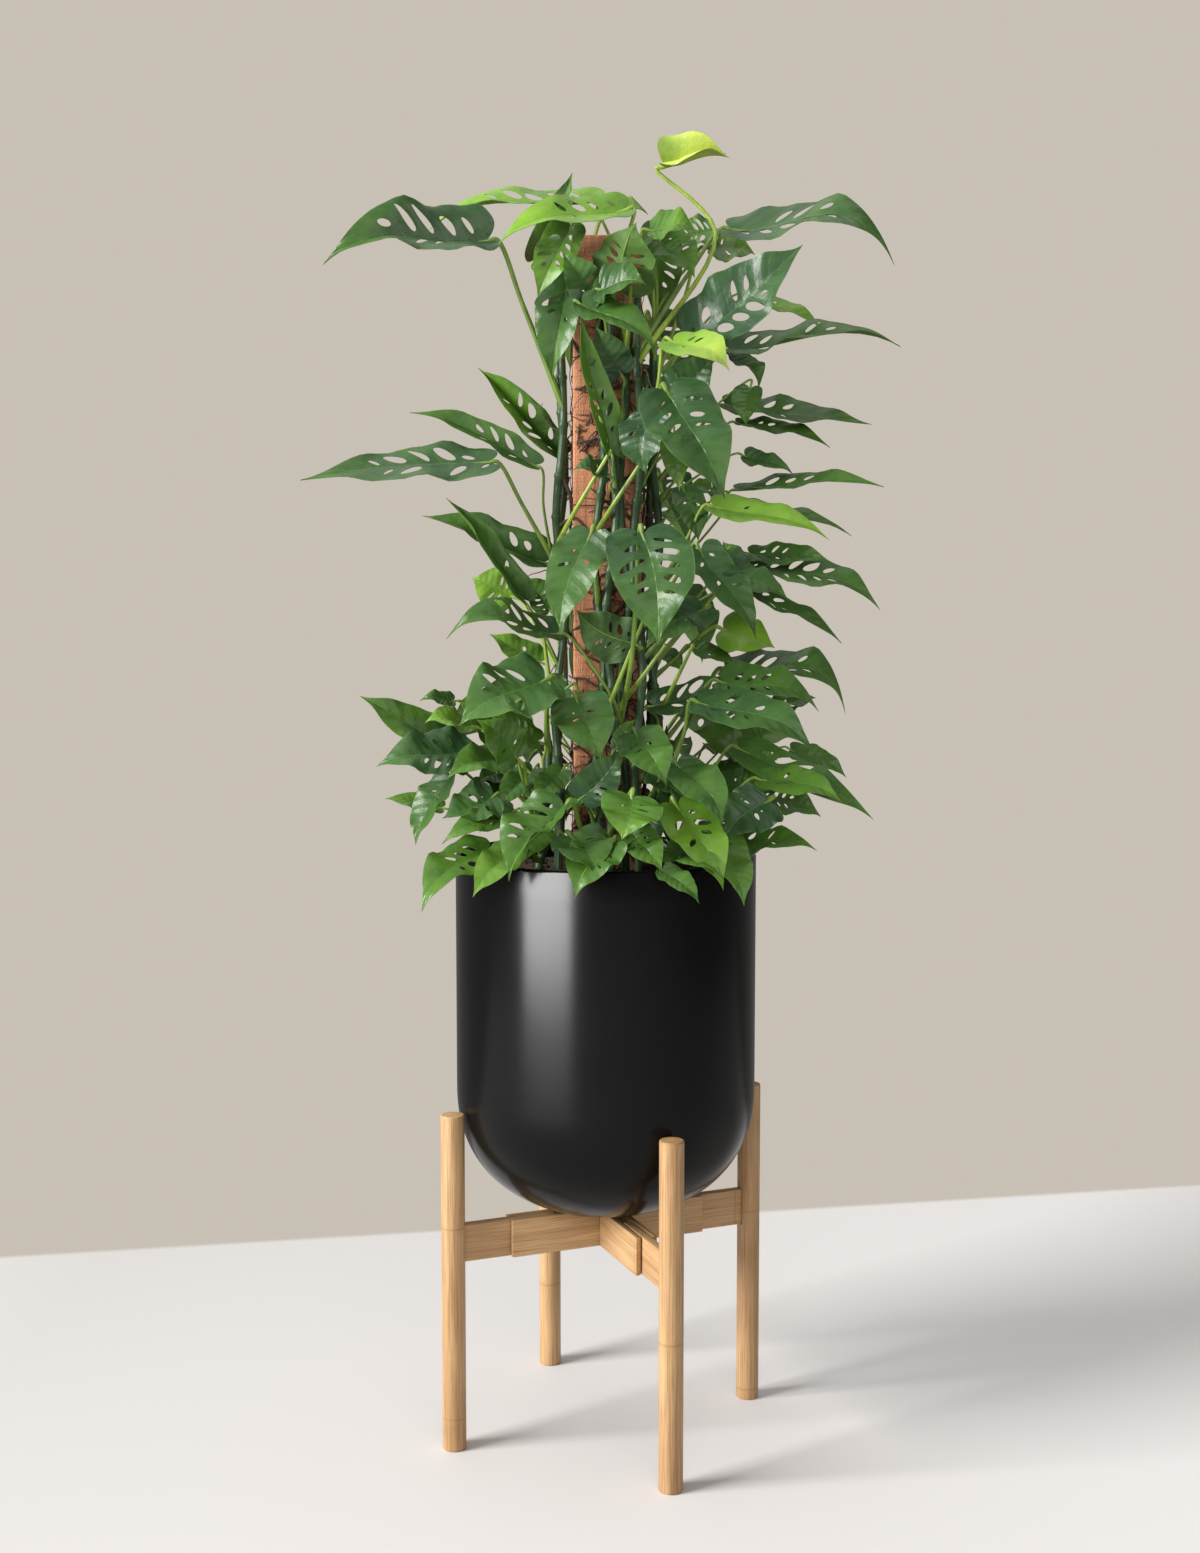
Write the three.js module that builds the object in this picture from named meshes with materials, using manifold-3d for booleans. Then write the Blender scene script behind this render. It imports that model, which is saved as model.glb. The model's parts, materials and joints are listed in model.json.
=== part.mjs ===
// Potted swiss cheese vine (Monstera adansonii) on a timber climbing post,
// in a round-bottomed planter that stands in an adjustable four-legged bamboo stand.
// Millimetres, +Z up, origin on the floor under the middle of the stand, front towards -Y.

import * as THREE from 'three';
import { mergeVertices } from 'three/addons/utils/BufferGeometryUtils.js';
import Module from 'manifold-3d';

const wasm = await Module();
wasm.setup();

// Driving dimensions
const CLEARANCE = 0.3;

const LEG_DIAMETER = 25;
const LEG_HEIGHT = 360;
const LEG_RADIUS_FROM_AXIS = 173;
const LEG_BEVEL = 1.5;
const LEG_SIDES = 16;
const STAND_TURN = 22.1;

const SLAT_BOTTOM = 202;
const SLAT_HEIGHT = 40;
const OUTER_SLAT_THICKNESS = 5.5;
const OUTER_SLAT_REACH = 111;
const ARM_THICKNESS = 12;
const ARM_INNER_END = 60;
const TENON_DEPTH = 17;

const POT_RADIUS = 160;
const POT_RIM_HEIGHT = 628;
const POT_WALL = 6;
const RIM_BEVEL = 1.5;
const POT_STRAIGHT_FROM = 380;
const DOME_POWER = 2.32;
const POT_SIDES = 36;
const OUTER_DOME_STEPS = 8;
const INNER_DOME_STEPS = 4;

const SOIL_BELOW_RIM = 24;
const SOIL_MOUND = 8;
const SOIL_SIDES = 20;
const SOIL_EDGE_GAP = 1;
const SOIL_RINGS = [1, 0.72, 0.4, 0];
const SOIL_DOME_STEPS = 4;

const POST_WIDTH = 72;
const POST_DEPTH = 49;
const POST_CENTRE_X = 1.5;
const POST_TOP = 1269;
const POST_BOTTOM = 330;
const POST_BEVEL = 2.5;

const STEM_RADIUS = 4.4;
const STEM_SIDES = 5;
const STEM_FOOT = 565;
const STEM_HOLE_MARGIN = 1.5;
const STEM_HOLE_SIDES = 6;
const PETIOLE_RADIUS = 2.3;
const BLADE_THICKNESS = 0.9;
const BLADE_WAVE = 0.05;
// Brings the highest point of an arch, two thirds along the blade, to the share that the plan gives
const ARCH_TO_PEAK = 6.75;
const WAVES_ALONG_BLADE = 14;
const WAVE_STEP_PER_LEAF = 1.7;

const SLAT_TOP = SLAT_BOTTOM + SLAT_HEIGHT;
const POT_BOTTOM = SLAT_TOP + CLEARANCE;
const SOIL_TOP = POT_RIM_HEIGHT - SOIL_BELOW_RIM;
const CHANNEL = ARM_THICKNESS + 2 * CLEARANCE;

// Leaf outlines from stalk to tip: place along the midrib, half width as a share of the widest
const LARGE_OUTLINE = [
  [-0.05, 0.52],
  [0.13, 0.95],
  [0.36, 1.0],
  [0.62, 0.7],
  [0.84, 0.27],
];
const SMALL_OUTLINE = [
  [-0.04, 0.55],
  [0.18, 1.0],
  [0.5, 0.86],
  [0.8, 0.34],
];
const FIRST_MIDRIB_PLACE = 0.05;
const SMALL_LEAF = 50;

// Stems and stalks: spacing of a stem's sections, its sideways sway, where stalks may leave it,
// how the stalks arch, and the places of their sections from the stem to the blade
const STEM_STEP = 75;
const STEM_SWAY = 3;
const SWAYS_PER_STEM = 2.5;
const SWAY_STEP_PER_STEM = 2.1;
const ROOT_ABOVE_FOOT = 60;
const ROOT_BELOW_TOP = 8;
const PETIOLE_RISE = 0.07;
const KNEE_LENGTH = 9;
const SHOULDER_PLACE = 0.55;
const SHORT_PETIOLE = 110;
const SHORT_STALK_PLACES = [0, 0.45, 0.88];
const LONG_STALK_PLACES = [0, 0.3, 0.62, 0.92];

// The vines. Each leaf: where its blade starts, its tip, widest width, tilt of its upper face from
// straight up and the heading it tilts to (0 is the front, 90 the right), fold along the midrib,
// arch as a share of its length, number of holes, how far below the blade its stalk starts, and for
// a stalk that bows widely the point that it passes.
const VINES = [
  {
    name: 'vine_left_a',
    from: [-50, -15],
    to: [-46, -13],
    top: 1150,
    leaves: [
      [[-120, -35, 1260], [-285, -65, 1230], 80, 54, 0, 25, 0.15, 4, 165],
      [[-40, -30, 1230], [-55, -40, 1120], 58, 75, -25, 15, 0.08, 2, 60],
      [[-120, -50, 1035], [-310, -75, 1015], 58, 40, 0, 4, 0.01, 2, 115],
      [[-85, -45, 895], [-165, -40, 1000], 36, 68, 34, 40, 0.05, 1, 70],
    ],
  },
  {
    name: 'vine_left_b',
    from: [-52, 12],
    to: [-46, 8],
    top: 1165,
    leaves: [
      [[-35, -40, 1275], [-70, -45, 1200], 45, 60, 0, 15, 0.08, 2, 150],
      [[-50, 20, 1050], [-135, 15, 1140], 46, 60, 0, 38, 0.05, 2, 80],
      [[-75, -15, 1035], [-205, -10, 1090], 38, 48, 0, 30, 0.06, 1, 110],
      [[-65, 10, 935], [-195, 15, 985], 52, 48, 0, 34, 0.05, 2, 60],
      [[-100, 40, 900], [-145, 50, 920], 52, 60, -30, 5, 0.05, 2, 90],
      [[-60, 35, 885], [-90, 45, 920], 36, 60, 0, 10, 0.05, 1, 60],
      [[-70, 15, 830], [-125, 25, 860], 36, 45, 0, 8, 0.05, 1, 60],
    ],
  },
  {
    name: 'vine_right_a',
    from: [54, -18],
    to: [49, -14],
    top: 1165,
    leaves: [
      [[45, -60, 1265], [90, -65, 1260], 45, 50, 0, 12, 0.25, 0, 120],
      [[55, -30, 1260], [90, -50, 1220], 46, 60, 0, 10, 0.1, 2, 130],
      [[90, -60, 1160], [195, -90, 1245], 78, 62, -10, 8, 0.05, 4, 60],
      [[140, -10, 1010], [285, -50, 1010], 38, 27, 0, 12, 0.05, 1, 110],
      [[110, -50, 990], [225, -80, 955], 44, 36, 0, 12, 0.08, 1, 90],
      [[95, -75, 945], [150, -105, 855], 52, 50, 20, 8, 0.12, 2, 70],
      [[135, -50, 925], [120, -50, 955], 36, 60, 0, 10, 0.2, 1, 90],
      [[140, -5, 910], [250, 5, 850], 36, 28, 0, 10, 0.06, 1, 80],
      [[120, -25, 810], [220, -50, 780], 56, 38, 0, 8, 0.17, 2, 70],
      [[50, -30, 785], [180, -15, 800], 42, 42, 0, 10, 0.06, 2, 30],
    ],
  },
  {
    name: 'vine_right_b',
    from: [54, 10],
    to: [49, 8],
    top: 1150,
    leaves: [
      [[110, 50, 1270], [160, 60, 1265], 50, 50, 0, 8, 0.12, 1, 150],
      [[130, 0, 1155], [305, -25, 1155], 56, 27, 0, 10, 0.09, 2, 100],
      [[130, 20, 1100], [280, 10, 1080], 50, 33, 0, 10, 0.02, 2, 90],
      [[140, 5, 1080], [235, 0, 1055], 35, 28, 0, 10, 0.06, 1, 90],
      [[145, 35, 995], [265, 45, 965], 36, 26, 0, 10, 0.06, 0, 90],
      [[130, -10, 925], [190, -30, 895], 42, 42, 0, 8, 0.12, 0, 80],
      [[155, 15, 930], [290, 0, 885], 60, 30, 0, 8, 0.11, 2, 100],
    ],
  },
  {
    name: 'vine_back_a',
    from: [-22, 38],
    to: [-18, 33],
    top: 1215,
    leaves: [
      [[-10, 30, 1315], [-190, 40, 1285], 56, 28, 0, 15, 0.1, 2, 120],
      [[-20, 95, 1235], [-40, 182, 1160], 68, 40, 190, 15, 0.1, 2, 90],
      [[-8, 105, 1065], [-12, 182, 965], 68, 48, 185, 15, 0.1, 2, 80],
      [[-15, 110, 930], [-32, 180, 840], 66, 45, 190, 12, 0.12, 2, 80],
      [[-90, 120, 790], [-190, 174, 725], 66, 45, 170, 12, 0.12, 2, 80],
    ],
  },
  {
    name: 'vine_back_b',
    from: [22, 38],
    to: [20, 33],
    top: 1205,
    leaves: [
      [[0, 40, 1310], [45, 50, 1305], 45, 30, 0, 10, 0.12, 1, 80],
      [[55, 40, 1290], [50, 45, 1190], 48, 75, 10, 12, 0.08, 2, 150],
      [[115, 40, 1285], [70, 45, 1270], 45, 54, 0, 10, 0.08, 2, 150],
      [[150, 55, 1220], [235, 60, 1185], 36, 30, 0, 10, 0.06, 1, 130],
      [[125, 20, 865], [180, 10, 845], 58, 45, 0, 5, 0.06, 0, 80],
      [[48, 100, 1205], [85, 180, 1120], 70, 40, 165, 15, 0.12, 4, 90],
      [[60, 105, 1035], [98, 178, 955], 66, 45, 165, 15, 0.1, 2, 80],
      [[75, 115, 905], [112, 180, 825], 68, 45, 165, 12, 0.12, 2, 80],
      [[100, 125, 775], [200, 172, 705], 66, 45, 190, 12, 0.12, 2, 80],
    ],
  },
  {
    name: 'vine_back_c',
    from: [0, 52],
    to: [1, 34],
    top: 1060,
    leaves: [
      [[20, 100, 1145], [38, 183, 1050], 72, 50, 175, 12, 0.14, 4, 80],
      [[20, 105, 1000], [45, 186, 895], 68, 50, 180, 12, 0.14, 2, 90],
      [[-5, 105, 860], [-25, 186, 760], 70, 50, 185, 12, 0.14, 4, 80],
      [[10, 100, 745], [30, 178, 650], 66, 50, 180, 12, 0.14, 2, 70],
    ],
  },
  {
    name: 'vine_front_a',
    from: [-8, -40],
    to: [-5, -32],
    top: 1195,
    leaves: [
      [[-10, -50, 1195], [-45, -60, 1245], 42, 60, -20, 20, 0.1, 1, 60],
      [[-25, -70, 1190], [50, -95, 1135], 42, 60, 20, 12, 0.15, 0, 100],
      [[-15, -105, 960], [-45, -135, 860], 56, 50, -10, 5, 0.08, 1, 70],
      [[-40, -50, 805], [-90, -45, 775], 44, 45, -20, 10, 0.15, 0, 50],
      [[-30, -100, 795], [-5, -135, 735], 62, 50, 0, 5, 0.12, 1, 60],
    ],
  },
  {
    name: 'vine_front_b',
    from: [6, -50],
    to: [5, -44],
    top: 1215,
    leaves: [
      [[20, -40, 1290], [-110, -60, 1250], 55, 42, 0, 15, 0.12, 2, 150],
      [[-5, -70, 1205], [40, -95, 1205], 50, 60, 0, 10, 0.12, 0, 70],
      [[30, -70, 850], [-30, -80, 885], 54, 110, 180, 8, 0.08, 2, 10],
      [[0, -60, 1020], [-35, -70, 1025], 36, 50, -30, 20, 0.2, 1, 20],
      [[30, -100, 760], [60, -135, 710], 52, 50, 0, 6, 0.15, 1, 50],
    ],
  },
  {
    name: 'vine_front_c',
    from: [20, -40],
    to: [18, -32],
    top: 1185,
    leaves: [
      [[10, -55, 1210], [30, -75, 1270], 74, 120, 170, 10, -0.1, 4, 60],
      [[15, -50, 1125], [-10, -65, 1170], 44, 85, 0, 10, 0.05, 0, 50],
      [[45, -85, 1080], [40, -90, 1020], 54, 60, -30, 10, 0.05, 1, 40],
      [[35, -120, 960], [50, -160, 850], 84, 50, -10, 4, 0.08, 4, 190, [26, -104, 839]],
      [[-50, -80, 860], [-160, -105, 855], 48, 40, 0, 12, 0.26, 2, 95, [6, -70, 796]],
    ],
  },
  {
    name: 'vine_front_d',
    from: [34, -48],
    to: [32, -42],
    top: 1200,
    leaves: [
      [[130, 5, 1280], [295, -35, 1235], 64, 42, 0, 5, 0.25, 2, 135],
      [[60, -30, 1335], [125, -40, 1345], 58, 58, 0, 50, 0.1, 0, 200, [112, -30, 1270]],
      [[65, -50, 1100], [110, -60, 1145], 48, 70, 0, 12, 0.05, 2, 60],
      [[65, -95, 1150], [120, -135, 1115], 52, 45, 0, 8, 0.15, 1, 110],
      [[60, -105, 1100], [115, -150, 990], 78, 50, 0, 6, 0.1, 2, 70],
      [[100, -60, 885], [40, -95, 845], 60, 50, -10, 8, 0.12, 1, 50],
      [[70, -105, 730], [115, -140, 670], 50, 50, 10, 6, 0.15, 0, 60],
    ],
  },
  {
    name: 'vine_low_left',
    from: [-72, -50],
    to: [-60, -48],
    top: 745,
    leaves: [
      [[-60, -100, 815], [-145, -145, 770], 84, 50, -10, 5, 0.12, 4, 60],
      [[-140, -60, 765], [-185, -75, 770], 42, 40, -30, 10, 0.2, 1, 70],
      [[-90, -95, 735], [-130, -110, 775], 46, 60, 0, 8, 0.1, 1, 70],
      [[-145, -55, 740], [-235, -75, 725], 64, 45, 0, 5, 0.14, 2, 60],
      [[-100, -80, 735], [-160, -120, 715], 44, 45, 0, 10, 0.15, 0, 60],
      [[-160, -60, 715], [-195, -80, 645], 44, 50, -40, 12, 0.06, 1, 70],
      [[-115, -80, 695], [-165, -105, 675], 56, 50, -20, 6, 0.06, 2, 60],
      [[-115, -105, 645], [-180, -175, 590], 62, 45, -20, 8, 0.15, 2, 40],
      [[-90, -130, 650], [-130, -175, 605], 42, 45, -10, 10, 0.1, 0, 40],
    ],
  },
  {
    name: 'vine_low_back_left',
    from: [-74, 42],
    to: [-62, 36],
    top: 745,
    leaves: [
      [[-110, -10, 780], [-75, -30, 745], 36, 45, 0, 10, 0.1, 0, 60],
      [[-150, 0, 730], [-260, -10, 795], 56, 40, 0, 8, 0.03, 0, 70],
      [[-100, -30, 710], [-135, -50, 705], 36, 40, 0, 10, 0.12, 1, 60],
    ],
  },
  {
    name: 'vine_low_front',
    from: [-6, -86],
    to: [-8, -74],
    top: 700,
    leaves: [
      [[-40, -130, 690], [-95, -175, 620], 76, 60, -45, 25, 0.12, 4, 60],
      [[-35, -140, 660], [-10, -180, 625], 58, 50, 10, 6, 0.12, 1, 40],
      [[-25, -95, 695], [15, -100, 745], 42, 80, 0, 6, 0.05, 1, 30],
      [[25, -135, 700], [15, -165, 660], 62, 50, 0, 4, 0.12, 1, 60],
      [[25, -140, 665], [55, -170, 630], 40, 50, 0, 8, 0.1, 1, 40],
      [[5, -150, 655], [-30, -185, 605], 54, 45, -10, 10, 0.15, 2, 40],
      [[40, -80, 655], [60, -85, 685], 40, 60, 0, 8, 0.08, 0, 50],
    ],
  },
  {
    name: 'vine_low_right',
    from: [74, -52],
    to: [64, -50],
    top: 740,
    leaves: [
      [[70, -115, 690], [115, -160, 610], 56, 50, 10, 8, 0.12, 2, 60],
      [[60, -130, 645], [115, -170, 620], 38, 45, 10, 8, 0.15, 1, 30],
      [[120, -120, 645], [135, -165, 595], 40, 50, 20, 8, 0.15, 0, 40],
      [[95, -70, 790], [210, -100, 740], 56, 45, 10, 6, 0.14, 2, 80],
      [[140, -30, 740], [275, -70, 670], 48, 42, 10, 6, 0.06, 2, 80],
      [[125, -20, 700], [180, -20, 710], 40, 45, 0, 6, 0.1, 1, 60],
      [[160, -60, 710], [240, -85, 690], 42, 40, 0, 8, 0.1, 1, 80],
      [[165, -85, 690], [120, -100, 655], 58, 55, 0, 4, 0.05, 1, 60],
      [[135, -70, 645], [215, -90, 640], 40, 35, 10, 8, 0.12, 1, 30],
    ],
  },
  {
    name: 'vine_low_back_right',
    from: [76, 46],
    to: [66, 40],
    top: 745,
    leaves: [
      [[130, 25, 820], [255, 5, 775], 70, 30, 0, 8, 0.29, 4, 90],
      [[165, 35, 740], [95, 30, 755], 54, 50, 0, 6, 0.05, 2, 70],
      [[120, 15, 710], [185, 20, 725], 36, 40, 0, 6, 0.1, 0, 50],
      [[165, 0, 685], [230, 5, 665], 46, 35, 0, 6, 0.08, 2, 60],
      [[185, 50, 780], [230, 55, 790], 36, 35, 0, 6, 0.08, 1, 80],
    ],
  },
];

// Materials
function material(colour, roughness, metalness = 0) {
  return new THREE.MeshStandardMaterial({ color: colour, roughness, metalness });
}

const bamboo = () => material(0xc9a36b, 0.55);
const planterBlack = () => material(0x161617, 0.42);
const pottingSoil = () => material(0x2b211a, 0.95);
const reddishTimber = () => material(0x9a6043, 0.85);
const leafGreen = () => material(0x35543a, 0.45);

// Solids and geometry
function toSolid(geometry) {
  const bare = geometry.clone();
  bare.deleteAttribute('normal');
  bare.deleteAttribute('uv');
  const merged = mergeVertices(bare, 1e-4);
  return new wasm.Manifold(new wasm.Mesh({
    numProp: 3,
    vertProperties: Float32Array.from(merged.attributes.position.array),
    triVerts: Uint32Array.from(merged.index.array),
  }));
}

function toGeometry(solid) {
  const mesh = solid.getMesh();
  const geometry = new THREE.BufferGeometry();
  geometry.setAttribute('position', new THREE.BufferAttribute(mesh.vertProperties, 3));
  geometry.setIndex(new THREE.BufferAttribute(mesh.triVerts, 1));
  geometry.computeVertexNormals();
  return geometry;
}

function joined(solids) {
  return solids.reduce((whole, solid) => whole.add(solid));
}

function boxSolid(sizeX, sizeY, sizeZ, x, y, z) {
  const box = new THREE.BoxGeometry(sizeX, sizeY, sizeZ);
  box.translate(x, y, z);
  return toSolid(box);
}

// A tube of a regular polygon along a smooth line through the given points
function tubeSolid(points, radius, sides, steps) {
  const section = new THREE.Shape();
  for (let side = 0; side < sides; side += 1) {
    const angle = (2 * Math.PI * side) / sides;
    const x = radius * Math.cos(angle);
    const y = radius * Math.sin(angle);
    if (side === 0) {
      section.moveTo(x, y);
    } else {
      section.lineTo(x, y);
    }
  }
  section.closePath();
  const path = new THREE.CatmullRomCurve3(points, false, 'centripetal');
  return toSolid(new THREE.ExtrudeGeometry(section, { steps, extrudePath: path, curveSegments: 1 }));
}

function mesh(name, geometry, look) {
  const result = new THREE.Mesh(geometry, look);
  result.name = name;
  return result;
}

// Stand: every beam lies along X in its own frame and is turned into place by its group
function legGeometry() {
  const half = LEG_DIAMETER / 2;
  const profile = [
    [0, 0],
    [half - LEG_BEVEL, 0],
    [half, LEG_BEVEL],
    [half, LEG_HEIGHT - LEG_BEVEL],
    [half - LEG_BEVEL, LEG_HEIGHT],
    [0, LEG_HEIGHT],
  ].map(([radius, height]) => new THREE.Vector2(radius, height));
  const turned = new THREE.LatheGeometry(profile, LEG_SIDES);
  turned.rotateX(Math.PI / 2);
  const slotLength = TENON_DEPTH + CLEARANCE + half;
  const slot = boxSolid(
    slotLength,
    ARM_THICKNESS + 2 * CLEARANCE,
    SLAT_HEIGHT + 2 * CLEARANCE,
    TENON_DEPTH + CLEARANCE - half - slotLength / 2,
    0,
    SLAT_BOTTOM + SLAT_HEIGHT / 2,
  );
  return toGeometry(toSolid(turned).subtract(slot));
}

function armGeometry() {
  const outerEnd = LEG_RADIUS_FROM_AXIS - LEG_DIAMETER / 2 + TENON_DEPTH;
  const length = outerEnd - ARM_INNER_END;
  const arm = new THREE.BoxGeometry(length, ARM_THICKNESS, SLAT_HEIGHT);
  arm.translate(ARM_INNER_END + length / 2, 0, SLAT_BOTTOM + SLAT_HEIGHT / 2);
  return arm;
}

// The outer slats cross in half laps: one pair is cut from above, the other from below
function outerSlatGeometry(side, cutFromAbove) {
  const offset = side * (CHANNEL + OUTER_SLAT_THICKNESS) / 2;
  const slat = boxSolid(
    2 * OUTER_SLAT_REACH,
    OUTER_SLAT_THICKNESS,
    SLAT_HEIGHT,
    0,
    offset,
    SLAT_BOTTOM + SLAT_HEIGHT / 2,
  );
  const notchWidth = OUTER_SLAT_THICKNESS + 2 * CLEARANCE;
  const notchHeight = SLAT_HEIGHT / 2 + 2 * CLEARANCE;
  const middle = SLAT_BOTTOM + SLAT_HEIGHT / 2;
  const notchCentre = middle + (cutFromAbove ? 1 : -1) * (notchHeight - CLEARANCE) / 2;
  const notches = [-1, 1].map((other) => boxSolid(
    notchWidth,
    2 * OUTER_SLAT_THICKNESS,
    notchHeight,
    other * (CHANNEL + OUTER_SLAT_THICKNESS) / 2,
    offset,
    notchCentre,
  ));
  return toGeometry(slat.subtract(joined(notches)));
}

function standGroup() {
  const stand = new THREE.Group();
  const corners = ['back_right', 'back_left', 'front_left', 'front_right'];
  corners.forEach((corner, index) => {
    const turn = new THREE.Group();
    turn.rotation.z = THREE.MathUtils.degToRad(STAND_TURN + 90 * index);
    const leg = mesh(`leg_${corner}`, legGeometry(), bamboo());
    leg.position.x = LEG_RADIUS_FROM_AXIS;
    turn.add(leg);
    turn.add(mesh(`arm_${corner}`, armGeometry(), bamboo()));
    stand.add(turn);
  });
  [['long', 0, true], ['cross', 90, false]].forEach(([beam, angle, cutFromAbove]) => {
    const turn = new THREE.Group();
    turn.rotation.z = THREE.MathUtils.degToRad(STAND_TURN + angle);
    turn.add(mesh(`slat_${beam}_a`, outerSlatGeometry(-1, cutFromAbove), bamboo()));
    turn.add(mesh(`slat_${beam}_b`, outerSlatGeometry(1, cutFromAbove), bamboo()));
    stand.add(turn);
  });
  return stand;
}

// Planter: a bowl whose side runs straight up from a super-elliptic bottom
function domePoints(radius, bottom, springing, count) {
  const points = [];
  for (let step = 0; step <= count; step += 1) {
    const angle = (Math.PI / 2) * (step / count);
    const across = radius * Math.sin(angle) ** (2 / DOME_POWER);
    const down = (springing - bottom) * Math.cos(angle) ** (2 / DOME_POWER);
    points.push(new THREE.Vector2(across, springing - down));
  }
  return points;
}

function planterGeometry() {
  const outer = domePoints(POT_RADIUS, POT_BOTTOM, POT_STRAIGHT_FROM, OUTER_DOME_STEPS);
  const inner = domePoints(POT_RADIUS - POT_WALL, POT_BOTTOM + POT_WALL, POT_STRAIGHT_FROM, INNER_DOME_STEPS);
  const rim = [
    new THREE.Vector2(POT_RADIUS, POT_RIM_HEIGHT - RIM_BEVEL),
    new THREE.Vector2(POT_RADIUS - RIM_BEVEL, POT_RIM_HEIGHT),
    new THREE.Vector2(POT_RADIUS - POT_WALL + RIM_BEVEL, POT_RIM_HEIGHT),
    new THREE.Vector2(POT_RADIUS - POT_WALL, POT_RIM_HEIGHT - RIM_BEVEL),
  ];
  const bowl = new THREE.LatheGeometry([...outer, ...rim, ...inner.reverse()], POT_SIDES);
  bowl.rotateX(Math.PI / 2);
  return toGeometry(toSolid(bowl));
}

function soilBody() {
  const edge = POT_RADIUS - POT_WALL - 2 * CLEARANCE - SOIL_EDGE_GAP;
  const bottom = POT_BOTTOM + POT_WALL + 2 * CLEARANCE;
  const inner = domePoints(edge, bottom, POT_STRAIGHT_FROM, SOIL_DOME_STEPS);
  const top = SOIL_RINGS.map((share) => {
    const mound = SOIL_MOUND * (1 - share * share);
    return new THREE.Vector2(edge * share, SOIL_TOP + mound);
  });
  const body = new THREE.LatheGeometry([...inner, ...top], SOIL_SIDES);
  body.rotateX(Math.PI / 2);
  return toSolid(body);
}

// Climbing post with broken edges
function postSection(grow) {
  const halfWidth = POST_WIDTH / 2 + grow;
  const halfDepth = POST_DEPTH / 2 + grow;
  const bevel = POST_BEVEL;
  const section = new THREE.Shape();
  section.moveTo(-halfWidth + bevel, -halfDepth);
  section.lineTo(halfWidth - bevel, -halfDepth);
  section.lineTo(halfWidth, -halfDepth + bevel);
  section.lineTo(halfWidth, halfDepth - bevel);
  section.lineTo(halfWidth - bevel, halfDepth);
  section.lineTo(-halfWidth + bevel, halfDepth);
  section.lineTo(-halfWidth, halfDepth - bevel);
  section.lineTo(-halfWidth, -halfDepth + bevel);
  section.closePath();
  return section;
}

function postGeometry(grow) {
  const depth = POST_TOP - POST_BOTTOM + grow;
  const post = new THREE.ExtrudeGeometry(postSection(grow), { depth, bevelEnabled: false });
  post.translate(POST_CENTRE_X, 0, POST_BOTTOM - grow);
  return post;
}

// A leaf's own axes: along the midrib, out of the upper face, and across to its right
function leafAxes(leaf) {
  const along = leaf.tip.clone().sub(leaf.base).normalize();
  const tilt = THREE.MathUtils.degToRad(leaf.tilt);
  const turn = THREE.MathUtils.degToRad(leaf.turn);
  const facing = new THREE.Vector3(
    Math.sin(tilt) * Math.sin(turn),
    -Math.sin(tilt) * Math.cos(turn),
    Math.cos(tilt),
  );
  const out = facing.addScaledVector(along, -facing.dot(along)).normalize();
  const across = along.clone().cross(out);
  return { along, out, across, length: leaf.tip.distanceTo(leaf.base) };
}

// A point of the blade: place 0..1 from stalk to tip, share -1..1 from left to right edge
function bladePoint(leaf, axes, place, share) {
  const half = leaf.width / 2;
  const fold = THREE.MathUtils.degToRad(leaf.fold);
  const run = Math.max(place, 0);
  const arch = leaf.arch * axes.length * ARCH_TO_PEAK * run * run * (1 - run);
  const wave = BLADE_WAVE * half * Math.abs(share) * Math.sin(WAVES_ALONG_BLADE * place + leaf.phase + share);
  const lift = arch + Math.abs(share) * half * Math.sin(fold) + wave;
  return leaf.base.clone()
    .addScaledVector(axes.along, axes.length * place)
    .addScaledVector(axes.across, share * half * Math.cos(fold))
    .addScaledVector(axes.out, lift);
}

// Splits one cell of the blade in two triangles, or in a ring of eight round an oval hole
function addCell(points, faces, corners, withHole) {
  const put = (a, b, c, d) => {
    faces.push([a.index, b.index, c.index], [a.index, c.index, d.index]);
  };
  if (!withHole) {
    put(...corners);
    return;
  }
  const [a, b, c, d] = corners;
  const inside = (across, along) => {
    const weights = [
      (1 - across) * (1 - along),
      across * (1 - along),
      across * along,
      (1 - across) * along,
    ];
    const place = corners.reduce((sum, corner, index) => sum + corner.place * weights[index], 0);
    const share = corners.reduce((sum, corner, index) => sum + corner.share * weights[index], 0);
    const point = { place, share, index: points.length };
    points.push(point);
    return point;
  };
  const ring = [inside(0.24, 0.3), inside(0.72, 0.12), inside(0.76, 0.66), inside(0.28, 0.8)];
  put(a, b, ring[1], ring[0]);
  put(b, c, ring[2], ring[1]);
  put(c, d, ring[3], ring[2]);
  put(d, a, ring[0], ring[3]);
}

// Cells that carry a hole on the right and left of the midrib, by the leaf's number of holes
const HOLE_CELLS = [
  [[], []],
  [[2], []],
  [[2], [1]],
  [[1, 2], [2]],
  [[1, 2], [1, 2]],
];

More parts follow.
